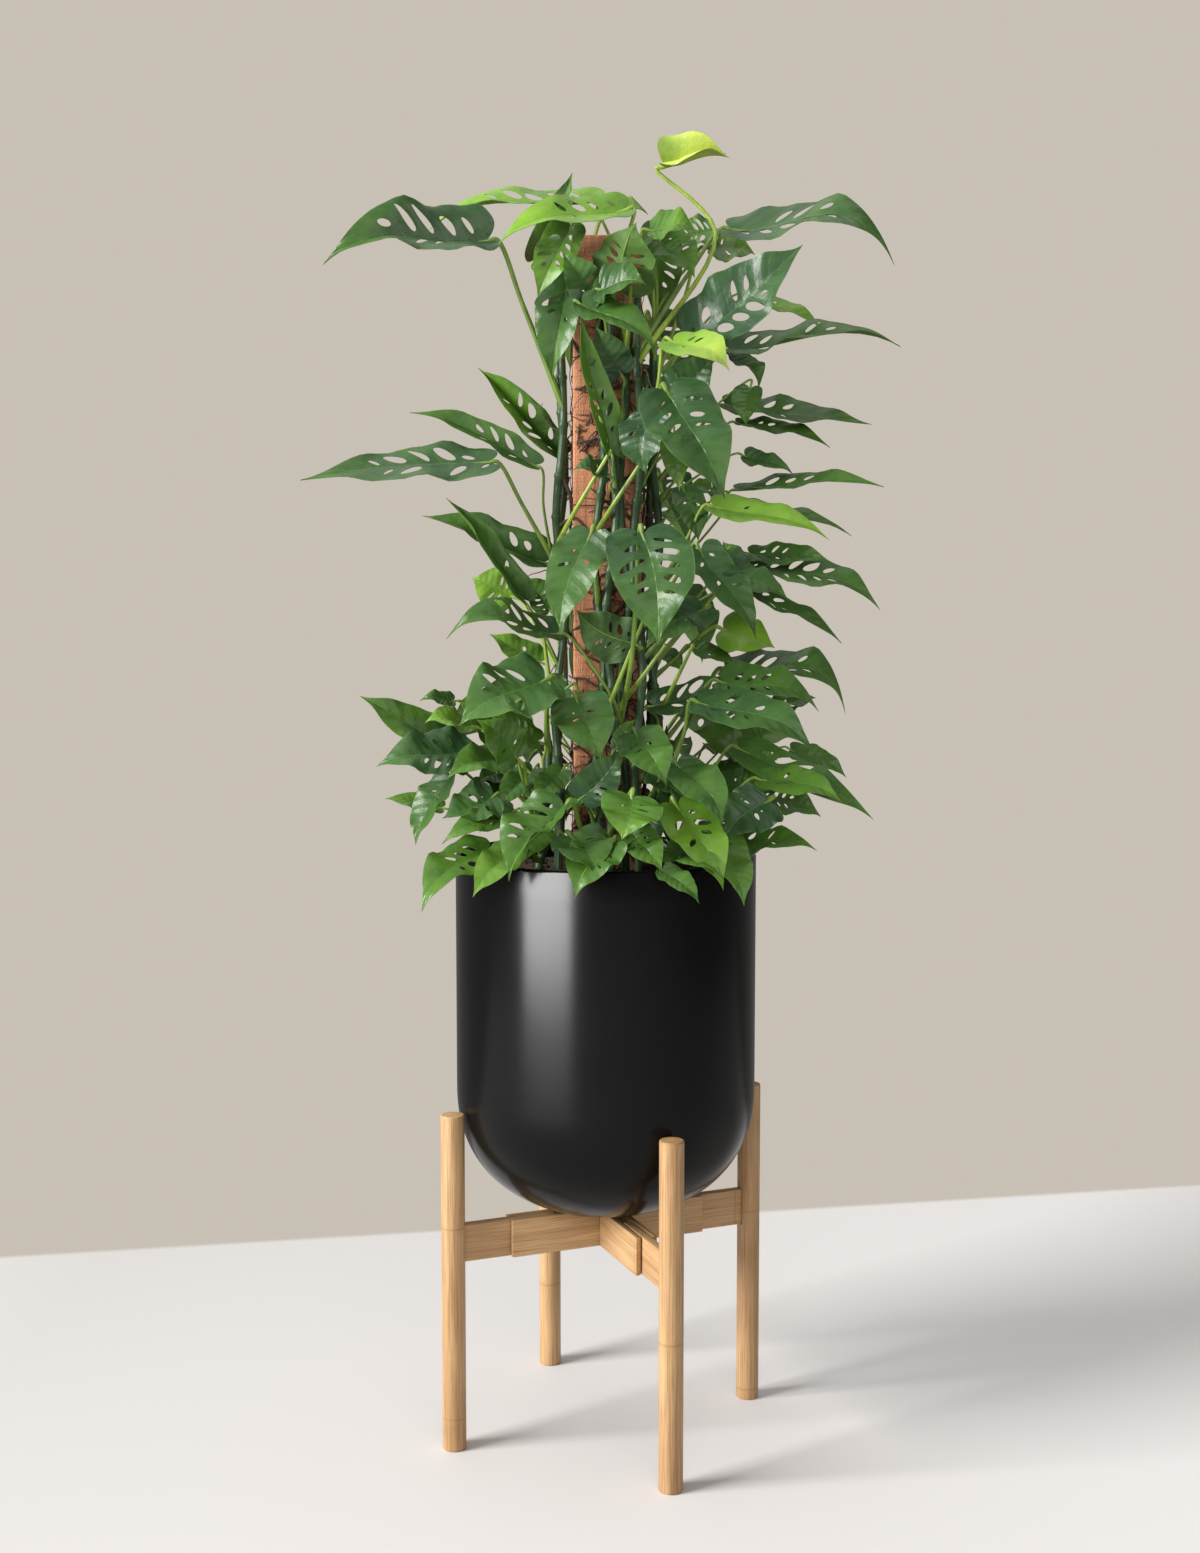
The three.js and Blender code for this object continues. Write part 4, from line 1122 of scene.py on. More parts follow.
@dataclass
class Skin:
    """A mesh while it is laid down, with what the materials read from each of its points."""

    points: list = field(default_factory=list)
    faces: list = field(default_factory=list)
    looks: list = field(default_factory=list)
    tones: list = field(default_factory=list)
    rims: list = field(default_factory=list)
    places: list = field(default_factory=list)

    def lay(
        self,
        points: list,
        faces: list,
        look: int,
        tone: float,
        rims: list | None = None,
        places: list | None = None,
    ) -> None:
        """Adds a patch.

        Args:
            points: its points.
            faces: its faces, numbered within the patch.
            look: which of the piece's materials it has.
            tone: how young it is, 0 to 1.
            rims: for each point of a blade, its share of the way from midrib to edge.
            places: for each point of a blade, its place across and along.
        """
        start = len(self.points)
        self.points += points
        self.faces += [tuple(start + corner for corner in face) for face in faces]
        self.looks += [look] * len(faces)
        self.tones += [tone] * len(points)
        self.rims += rims or [0.0] * len(points)
        self.places += places or [(0.5, 0.0)] * len(points)

    def tube(self, line: list, radii: list, sides: int, look: int, tone: float) -> None:
        """Adds a closed round tube.

        Args:
            line: the points of its axis.
            radii: its radius at each.
            sides: how many faces go round.
            look: which of the piece's materials it has.
            tone: how young it is, 0 to 1.
        """
        points = []
        faces = []
        normal = None
        for index, centre in enumerate(line):
            ahead = line[min(index + 1, len(line) - 1)] - line[max(index - 1, 0)]
            along = ahead.normalized()
            if normal is None:
                normal = along.orthogonal()
            normal = (normal - along * normal.dot(along)).normalized()
            side = along.cross(normal)
            for step in range(sides):
                angle = 2 * math.pi * step / sides
                points.append(centre + (normal * math.cos(angle) + side * math.sin(angle)) * radii[index])
        for ring in range(len(line) - 1):
            for step in range(sides):
                here, there = ring * sides, (ring + 1) * sides
                onward = (step + 1) % sides
                faces.append((here + step, here + onward, there + onward, there + step))
        last = (len(line) - 1) * sides
        faces.append(tuple(reversed(range(sides))))
        faces.append(tuple(range(last, last + sides)))
        self.lay(points, faces, look, tone)

    def piece(self, name: str, looks: list, sharp: float = 35.0) -> bpy.types.Object:
        """Makes the object.

        Args:
            name: its name.
            looks: its materials.
            sharp: edges bent by more than this many degrees stay crisp.

        Returns:
            The object.
        """
        mesh = bpy.data.meshes.new(name)
        mesh.from_pydata([tuple(point) for point in self.points], [], self.faces)
        for look in looks:
            mesh.materials.append(look)
        mesh.polygons.foreach_set("material_index", self.looks)
        mesh.polygons.foreach_set("use_smooth", [True] * len(self.faces))
        mesh.set_sharp_from_angle(angle=math.radians(sharp))
        mesh.attributes.new("tone", "FLOAT", "POINT").data.foreach_set("value", self.tones)
        mesh.attributes.new("rim", "FLOAT", "POINT").data.foreach_set("value", self.rims)
        corners = np.empty(len(mesh.loops), dtype=np.int64)
        mesh.loops.foreach_get("vertex_index", corners)
        spread = np.array(self.places, dtype=np.float32)[corners]
        mesh.uv_layers.new(name="blade").data.foreach_set("uv", spread.ravel())
        mesh.update()
        piece = bpy.data.objects.new(name, mesh)
        bpy.context.scene.collection.objects.link(piece)
        return piece


@dataclass
class BladePattern:
    """A flat blade with its holes, before it is bent.

    Its points are (across, place): the share of the widest half width, and the share of the
    length. Points are set on the side veins and half way between them, so a bent blade can
    sink along its veins. Every leaf's holes differ a little.

    Args:
        pierced: how richly it is holed.
        draw: the seeded random draw.
    """

    pierced: Pierced
    draw: random.Random
    neck: float = 0.06
    slim: float = 0.3
    steps: int = 4
    hole_sides: int = 14
    left_out: float = 0.13
    rib_steps: int = 15
    margin: float = 0.012
    shares: tuple = (0.14, 0.34, 0.55, 0.76, 0.9)
    points: list = field(default_factory=list)
    faces: list = field(default_factory=list)
    rims: list = field(default_factory=list)
    border: list = field(default_factory=list)

    def __post_init__(self) -> None:
        """Draws the outline and cuts the blade."""
        self.outline = self.draw_outline()
        self.cut()

    def draw_outline(self) -> np.ndarray:
        """Gives the right-hand edge from the stalk to the tip as rows of across and place."""
        marks = [(self.neck, 0.0), *((share, place) for place, share in OUTLINE), (0.0, 1.0)]
        line = smooth_line([Vector((across * self.slim, place, 0)) for across, place in marks], self.steps)
        return np.array([(point.x / self.slim, point.y) for point in line])

    def edge(self, place: float) -> float:
        """Gives the outline's half width at a place.

        Args:
            place: the share of the length.

        Returns:
            The share of the widest half width.
        """
        lowest = int(self.outline[:, 1].argmin())
        side = self.outline[lowest:]
        return float(np.interp(place, side[:, 1], side[:, 0]))

    def on_vein(self, start: float, share: float, side: int) -> tuple:
        """Follows a side vein from the midrib outward.

        Args:
            start: where it leaves the midrib.
            share: the share of the way to the edge.
            side: 1 for right and -1 for left.

        Returns:
            The point there, across and place.
        """
        place = start + VEIN_SKEW * share + VEIN_CURL * share * share
        return side * share * self.edge(place), place

    def hole_loop(self, hole: Hole) -> list:
        """Gives the edge of one hole, varied a little.

        Args:
            hole: the hole.

        Returns:
            Its points, across and place.
        """
        gap = hole.gap + (0.5 if hole.side > 0 else 0.0)
        start = gap * VEIN_SPACING + self.draw.uniform(-0.012, 0.012)
        inner = hole.inner + self.draw.uniform(-0.03, 0.05)
        outer = hole.outer + self.draw.uniform(-0.22, 0.07)
        width = hole.width * self.draw.uniform(0.6, 1.4)
        belly = self.draw.uniform(-0.5, 0.3)
        loop = []
        for step in range(self.hole_sides):
            angle = 2 * math.pi * step / self.hole_sides
            share = (inner + outer) / 2 + (outer - inner) / 2 * math.cos(angle)
            across, place = self.on_vein(start, share, hole.side)
            loop.append((across, place + width * (1 + belly * math.cos(angle)) * math.sin(angle)))
        return loop

    @staticmethod
    def inside(points: np.ndarray, loop: list) -> np.ndarray:
        """Tells which points are within a closed loop.

        Args:
            points: rows of across and place.
            loop: the loop's points.

        Returns:
            True for each point that is.
        """
        start = np.array(loop)
        end = np.roll(start, -1, axis=0)
        across, place = points[:, :1], points[:, 1:]
        straddles = (start[:, 1] > place) != (end[:, 1] > place)
        rise = np.where(end[:, 1] == start[:, 1], 1.0, end[:, 1] - start[:, 1])
        crossing = start[:, 0] + (place - start[:, 1]) * (end[:, 0] - start[:, 0]) / rise
        return (straddles & (across < crossing)).sum(axis=1) % 2 == 1

    def clear_of(self, points: np.ndarray, loop: list) -> np.ndarray:
        """Tells which points keep the margin from a loop.

        Args:
            points: rows of across and place.
            loop: the loop's points.

        Returns:
            True for each point that does.
        """
        stretch = np.array((self.slim, 1.0))
        start = np.array(loop) * stretch
        run = np.roll(start, -1, axis=0) - start
        away = points[:, None, :] * stretch - start[None]
        along = np.clip((away * run).sum(2) / (run * run).sum(1), 0, 1)
        gap = away - along[:, :, None] * run[None]
        return np.hypot(gap[:, :, 0], gap[:, :, 1]).min(axis=1) > self.margin

    def cut(self) -> None:
        """Fills the outline with faces, round the holes."""
        right = [tuple(row) for row in self.outline]
        left = [(-across, place) for across, place in right[-2::-1]]
        outline = [(0.0, 0.0), *right, *left]
        chosen = [hole for hole in HOLES[self.pierced] if self.draw.random() > self.left_out]
        holes = [self.hole_loop(hole) for hole in chosen]
        rib = [(0.0, step / self.rib_steps) for step in range(1, self.rib_steps)]
        spots = [
            self.on_vein(row * VEIN_SPACING / 2, share, side)
            for side in (-1, 1)
            for row in range(-2, 17)
            for share in self.shares
        ]
        table = np.array(spots)
        good = self.inside(table, outline) & self.clear_of(table, outline)
        for hole in holes:
            good &= ~self.inside(table, hole) & self.clear_of(table, hole)
        spots = [spot for spot, kept in zip(spots, good) if kept]
        coordinates = []
        edges = []
        for loop in (outline, *holes):
            start = len(coordinates)
            coordinates += loop
            edges += [(start + i, start + (i + 1) % len(loop)) for i in range(len(loop))]
        start = len(coordinates)
        coordinates += rib
        chain = [0, *range(start, start + len(rib)), len(right)]
        edges += list(zip(chain, chain[1:]))
        coordinates += spots
        flat = [Vector((across * self.slim, place)) for across, place in coordinates]
        found, _, faces, *_ = delaunay_2d_cdt(flat, edges, [], 0, 0.000001)
        table = np.array([(point.x / self.slim, point.y) for point in found])
        self.points = [tuple(row) for row in table.tolist()]
        centres = table[np.array(faces)].mean(axis=1)
        kept = self.inside(centres, outline)
        for hole in holes:
            kept &= ~self.inside(centres, hole)
        self.faces = [tuple(face) for face, stays in zip(faces, kept) if stays]
        used = {pair for face in self.faces for pair in zip(face, face[1:] + face[:1])}
        self.border = sorted(pair for pair in used if pair[::-1] not in used)
        self.rims = [min(abs(across) / max(self.edge(place), 0.03), 1.0) for across, place in self.points]


@dataclass
class Foliage:
    """Bends blades and stalks to the leaves of the plan.

    Its materials, in order, are the upper face, the lower face, the stalk and the stem. Knee,
    joint spacing, thickness and spare are in metres. Wave, quilt and bow are shares of a
    blade's half width, crease and twist are radians, and the rest are shares or counts.
    """

    thickness: float = 0.0006
    knee: float = 0.009
    shoulder: float = 0.55
    rise: float = 0.07
    crease: float = 0.10
    wave: float = 0.135
    waves: float = 14
    frill: float = 0.55
    frills: float = 27
    quilt: float = 0.019
    twist: float = 0.30
    bow: float = 0.24
    sheath: float = 0.55
    knuckle: float = 0.10
    midrib: float = 0.36
    stalk_sides: int = 8
    stem_sides: int = 10
    joint_spacing: float = 0.044
    spare: float = 0.001
    hinge: float = 0.25
    seed: int = 5

    def __post_init__(self) -> None:
        """Starts the random draw that varies the holes."""
        self.draw = random.Random(self.seed)

    def axes(self, leaf: Leaf) -> tuple:
        """Gives a leaf's own directions.

        Args:
            leaf: the leaf.

        Returns:
            Along the midrib, out of the upper face, and across to the right.
        """
        along = (leaf.tip - leaf.base).normalized()
        lean = math.sin(leaf.tilt)
        facing = Vector((lean * math.sin(leaf.turn), -lean * math.cos(leaf.turn), math.cos(leaf.tilt)))
        out = (facing - along * facing.dot(along)).normalized()
        return along, out, along.cross(out)

    def point(self, leaf: Leaf, across: float, place: float) -> Vector:
        """Gives a point of a bent blade's middle layer.

        Args:
            leaf: the leaf.
            across: the share of the widest half width, negative to the left.
            place: the share of the length.

        Returns:
            The point.
        """
        along, out, side = self.axes(leaf)
        half = leaf.width / 2
        run = max(place, 0.0)
        spread = abs(across)
        curl = 0.7 + 0.5 * math.sin(1.3 * leaf.phase)
        fold = (math.hypot(spread, 0.03) - 0.03) * (1 + curl) - curl * spread**2.2
        lift = leaf.arch * leaf.length * ARCH_TO_PEAK * run * run * (1 - run)
        bend = leaf.fold + self.crease * (1 - leaf.tone)
        lift += fold * half * math.sin(bend)
        wave = self.wave * half * (1 - 0.85 * leaf.tone**2)
        lift += wave * spread * math.sin(self.waves * place + leaf.phase + across)
        frill = self.frill * wave * spread**3
        lift += frill * math.sin(self.frills * place + 2 * leaf.phase + 2 * across)
        bow = self.bow * (1 - 0.75 * leaf.tone) * half * math.sin(2.3 * leaf.phase) * 4 * run * (1 - run)
        uneven = 1 + 0.05 * math.sin(3.1 * leaf.phase) * (1 if across > 0 else -1)
        reach = across * uneven * half
        turn = self.twist * math.sin(4.7 * leaf.phase) * (place - 0.35)
        lift += reach * math.sin(turn)
        shift = reach * math.cos(bend) * math.cos(turn) + bow
        return leaf.base + along * (leaf.length * place) + side * shift + out * lift

    def sunk(self, leaf: Leaf, rim: float, across: float, place: float) -> float:
        """Gives how far the blade bulges between its side veins.

        Args:
            leaf: the leaf.
            rim: the share of the way to the edge.
            across: the share of the widest half width.
            place: the share of the length.

        Returns:
            The bulge, metres.
        """
        start = place - VEIN_SKEW * rim - VEIN_CURL * rim * rim
        if across > 0:
            start -= VEIN_SPACING / 2
        crest = math.cos(math.pi * start / VEIN_SPACING) ** 2
        fade = min(rim / 0.25, 1.0) * (1 - rim**4)
        return self.quilt * (1 - 0.75 * leaf.tone) * leaf.width / 2 * crest * fade

    def keep_inside(self, points: list, places: list) -> None:
        """Bends a blade back by as much as it reaches out of the solids' box.

        Args:
            points: its points, which are moved.
            places: the share of the length of each.
        """
        lowest, highest = (Vector(corner) for corner in CAD_BOX)
        back = Vector()
        for axis in range(3):
            most = max(point[axis] for point in points) + self.spare
            least = min(point[axis] for point in points) - self.spare
            back[axis] = min(highest[axis] - most, 0.0) + max(lowest[axis] - least, 0.0)
        for point, place in zip(points, places):
            point += back * min(max(place, 0.0) / self.hinge, 1.0)

    def lay_blade(self, skin: Skin, leaf: Leaf, mirrored: bool) -> None:
        """Adds a leaf's blade: two faces and the narrow edge between them.

        Args:
            skin: the mesh to add to.
            leaf: the leaf.
            mirrored: True to swap its two halves.
        """
        pattern = BladePattern(leaf.pierced, self.draw)
        out = self.axes(leaf)[1]
        flip = -1 if mirrored else 1
        upper = []
        for (across, place), rim in zip(pattern.points, pattern.rims):
            bulge = self.sunk(leaf, rim, across, place)
            upper.append(self.point(leaf, across * flip, place) + out * (bulge + self.thickness / 2))
        self.keep_inside(upper, [place for across, place in pattern.points])
        lower = [point - out * self.thickness for point in upper]
        count = len(upper)
        faces = [tuple(reversed(face)) for face in pattern.faces] if mirrored else pattern.faces
        border = [pair[::-1] for pair in pattern.border] if mirrored else pattern.border
        below = [tuple(corner + count for corner in reversed(face)) for face in faces]
        edge = [(start, start + count, end + count, end) for start, end in border]
        places = [(0.5 + across / 2, place) for across, place in pattern.points]
        skin.lay(upper + lower, faces + edge, 0, leaf.tone, pattern.rims * 2, places * 2)
        base = len(skin.points) - 2 * count
        skin.faces += [tuple(base + corner for corner in face) for face in below]
        skin.looks += [1] * len(below)

    def stalk_line(self, leaf: Leaf, stem: Stem) -> list:
        """Gives the axis of a leaf's stalk, from inside the stem to the blade.

        Args:
            leaf: the leaf.
            stem: the stem that carries it.

        Returns:
            The points of the axis.
        """
        along = self.axes(leaf)[0]
        height = min(max(leaf.base.z - leaf.drop, STEM_FOOT + 0.06), stem.top - 0.008)
        root = stem.point(height)
        knee = leaf.base - along * self.knee
        reach = (leaf.base - root).length
        shoulder = leaf.via or root.lerp(leaf.base, self.shoulder) + Vector((0, 0, self.rise * reach))
        return smooth_line([root, shoulder, knee, leaf.base.copy()], 7)

    def lay_stalk(self, skin: Skin, leaf: Leaf, stem: Stem) -> None:
        """Adds a leaf's stalk, with a sheath where it leaves the stem, and its midrib below the blade.

        Args:
            skin: the mesh to add to.
            leaf: the leaf.
            stem: the stem that carries it.
        """
        out = self.axes(leaf)[1]
        size = STALK_RADIUS * min(max(leaf.width / 0.052, 0.62), 1.3)
        line = self.stalk_line(leaf, stem)
        last = len(line) - 1
        radii = []
        for index in range(len(line)):
            share = index / last
            sheath = self.sheath * max(0.0, 1 - share / 0.35) ** 1.5
            knuckle = self.knuckle * math.exp(-(((share - 0.80) / 0.10) ** 2))
            radii.append(size * (0.80 + sheath + knuckle))
        radii[-1] = size * 0.62
        for step in range(1, 11):
            place = 0.095 * step
            radius = size * self.midrib * (1 - place) ** 0.8 + 0.0002
            bulge = out * (0.78 * radius)
            line.append(self.point(leaf, 0.0, place) - bulge)
            radii.append(radius)
        skin.tube(line, radii, self.stalk_sides, 2, 0.2 + 0.75 * leaf.tone)

    def lay_stem(self, skin: Skin, stem: Stem) -> None:
        """Adds a stem with a ring at each joint and a pointed top.

        Args:
            skin: the mesh to add to.
            stem: the stem.
        """
        spacing = self.joint_spacing
        heights = [STEM_FOOT]
        radii = [STEM_RADIUS]
        joint = STEM_FOOT + 0.6 * spacing + 0.01 * math.sin(stem.phase)
        while joint < stem.top - 0.3 * spacing:
            for offset, swell in JOINT_SHAPE:
                heights.append(joint + offset)
                radii.append(STEM_RADIUS * swell)
            joint += spacing * (1 + 0.25 * math.sin(9 * joint / spacing + stem.phase))
        heights += [stem.top - 0.004, stem.top + 0.006, stem.top + 0.016]
        radii += [STEM_RADIUS * 0.85, STEM_RADIUS * 0.55, STEM_RADIUS * 0.1]
        line = []
        for height in heights:
            point = stem.point(min(height, stem.top))
            point.z = height
            line.append(point)
        skin.tube(line, radii, self.stem_sides, 3, 0.35)


@dataclass
class Vine:
    """One climbing stem with its leaves, which is one piece.

    Args:
        stem: the stem.
        leaves: its leaves.
    """

    stem: Stem
    leaves: list

    def build(self, foliage: Foliage, looks: list) -> None:
        """Builds the vine.

        Args:
            foliage: what bends blades and stalks.
            looks: the four materials.
        """
        skin = Skin()
        foliage.lay_stem(skin, self.stem)
        for index, leaf in enumerate(self.leaves):
            foliage.lay_stalk(skin, leaf, self.stem)
            foliage.lay_blade(skin, leaf, index % 2 == 1)
        piece = skin.piece(self.stem.name.replace("vine", "climbing_vine"), looks)
        Bench.finish(piece, None, ROOT_BODY, "leaf_green", (self.stem.name,))


# Stalks whose leaves are hidden: stem, height of the root and end in millimetres, age
BARE_STALKS = (
    ("vine_front_c", 1130, (25, -65, 1210), 0.7),
    ("vine_front_a", 1050, (-10, -60, 1125), 0.45),
    ("vine_left_a", 955, (5, -80, 1045), 0.8),
    ("vine_front_a", 965, (40, -75, 1040), 0.6),
    ("vine_front_a", 760, (40, -95, 880), 0.75),
    ("vine_front_c", 785, (60, -95, 850), 0.6),
    ("vine_right_a", 775, (90, -55, 850), 0.55),
    ("vine_left_a", 770, (-65, -55, 865), 0.75),
)


@dataclass
class BareStalks:
    """Stalks that cross in front of the post, whose leaves are hidden behind others.

    Args:
        stems: the stems that carry them.
    """

    stems: list
    radius: float = 0.0021
    sides: int = 8

    def build(self, look: bpy.types.Material) -> None:
        """Builds them as one piece.

        Args:
            look: the material of the stalks.
        """
        skin = Skin()
        by_name = {stem.name: stem for stem in self.stems}
        for name, height, end, tone in BARE_STALKS:
            root = by_name[name].point(height * MM)
            tip = Vector(end) * MM
            shoulder = root.lerp(tip, 0.35) + Vector((0, 0.3 * (tip.y - root.y), 0))
            line = smooth_line([root, shoulder, tip], 8)
            last = len(line) - 1
            radii = [self.radius * (1.45 - 0.6 * step / last) for step in range(last + 1)]
            skin.tube(line, radii, self.sides, 0, tone)
        piece = skin.piece("bare_stalks", [])
        Bench.finish(piece, look, ROOT_BODY, "leaf_green", ())


@dataclass
class Stand:
    """The bamboo stand: four legs with arms that slide between two crossed pairs of slats.

    All sizes are in metres.
    """

    leg_radius: float = 0.0125
    leg_height: float = 0.36
    slat_bottom: float = 0.202
    slat_height: float = 0.040
    slat_thickness: float = 0.0055
    slat_reach: float = 0.111
    arm_thickness: float = 0.012
    shadow_gap: float = 0.0012
    arm_start: float = 0.060
    tenon: float = 0.017
    clearance: float = 0.0003
    looks: dict = field(default_factory=dict)

    @property
    def middle(self) -> float:
        """Height of the middle of the slats."""
        return self.slat_bottom + self.slat_height / 2

    @staticmethod
    def turn(piece: bpy.types.Object, angle: float) -> None:
        """Turns a piece about the stand's axis.

        Args:
            piece: the piece, modelled along +X.
            angle: the angle, radians.
        """
        piece.rotation_euler.z = angle
        Bench.settle(piece)

    def leg(self, corner: str, angle: float) -> None:
        """Builds one turned leg with the slot that takes its arm.

        Args:
            corner: which leg.
            angle: its heading, radians.
        """
        Bench.clear()
        bpy.ops.mesh.primitive_cylinder_add(
            vertices=72,
            radius=self.leg_radius,
            depth=self.leg_height,
            location=(LEG_RADIUS_FROM_AXIS, 0, self.leg_height / 2),
        )
        piece = bpy.context.object
        piece.name = f"turned_leg_{corner}"
        Bench.settle(piece)
        Bench.soften(piece, 0.0017, 4, 60)
        depth = self.tenon + self.clearance
        length = depth + self.leg_radius
        slot = Bench.block(
            "slot",
            (length, self.arm_thickness + 2 * self.clearance, self.slat_height + 2 * self.clearance),
            (LEG_RADIUS_FROM_AXIS + depth - self.leg_radius - length / 2, 0, self.middle),
        )
        Bench.cut(piece, slot)
        Bench.shade(piece)
        self.turn(piece, angle)
        Bench.finish(piece, self.looks[Grain.UP], f"{corner}_leg", "bamboo", (f"leg_{corner}",))

    def arm(self, corner: str, angle: float, grain: Grain) -> None:
        """Builds the flat arm that slides between the slats.

        Args:
            corner: which leg it carries.
            angle: its heading, radians.
            grain: which way its fibres run.
        """
        end = LEG_RADIUS_FROM_AXIS - self.leg_radius + self.tenon
        length = end - self.arm_start
        size = (length, self.arm_thickness - 2 * self.shadow_gap, self.slat_height)
        piece = Bench.block(f"sliding_arm_{corner}", size, (self.arm_start + length / 2, 0, self.middle))
        Bench.soften(piece, 0.0011, 3)
        self.turn(piece, angle)
        Bench.finish(piece, self.looks[grain], f"{corner}_leg", "bamboo", (f"arm_{corner}",))

    def slat(self, beam: str, side: int, angle: float, grain: Grain, from_above: bool) -> None:
        """Builds one slat with the two notches where it crosses the other pair.

        Args:
            beam: which pair it belongs to.
            side: -1 or 1, its side of the arms.
            angle: the pair's heading, radians.
            grain: which way its fibres run.
            from_above: True if its notches are cut from above.
        """
        offset = (self.arm_thickness + 2 * self.clearance + self.slat_thickness) / 2
        size = (2 * self.slat_reach, self.slat_thickness, self.slat_height)
        letter = "a" if side < 0 else "b"
        piece = Bench.block(f"cross_slat_{beam}_{letter}", size, (0, side * offset, self.middle))
        height = self.slat_height / 2 + 2 * self.clearance
        centre = self.middle + (1 if from_above else -1) * (height - self.clearance) / 2
        for other in (-1, 1):
            size = (self.slat_thickness + 2 * self.clearance, 2 * self.slat_thickness, height)
            Bench.cut(piece, Bench.block("notch", size, (other * offset, side * offset, centre)))
        Bench.soften(piece, 0.0008, 3)
        self.turn(piece, angle)
        Bench.finish(piece, self.looks[grain], ROOT_BODY, "bamboo", (f"slat_{beam}_{letter}",))

    def build(self) -> None:
        """Builds the twelve bamboo pieces."""
        self.looks = {grain: BambooFinish(grain).make() for grain in Grain}
        for index, corner in enumerate(CORNERS):
            angle = STAND_TURN + index * math.pi / 2
            self.leg(corner, angle)
            self.arm(corner, angle, Grain.ALONG_CROSS_BEAM if index % 2 else Grain.ALONG_LONG_BEAM)
        for side in (-1, 1):
            self.slat("long", side, STAND_TURN, Grain.ALONG_LONG_BEAM, True)
            self.slat("cross", side, STAND_TURN + math.pi / 2, Grain.ALONG_CROSS_BEAM, False)


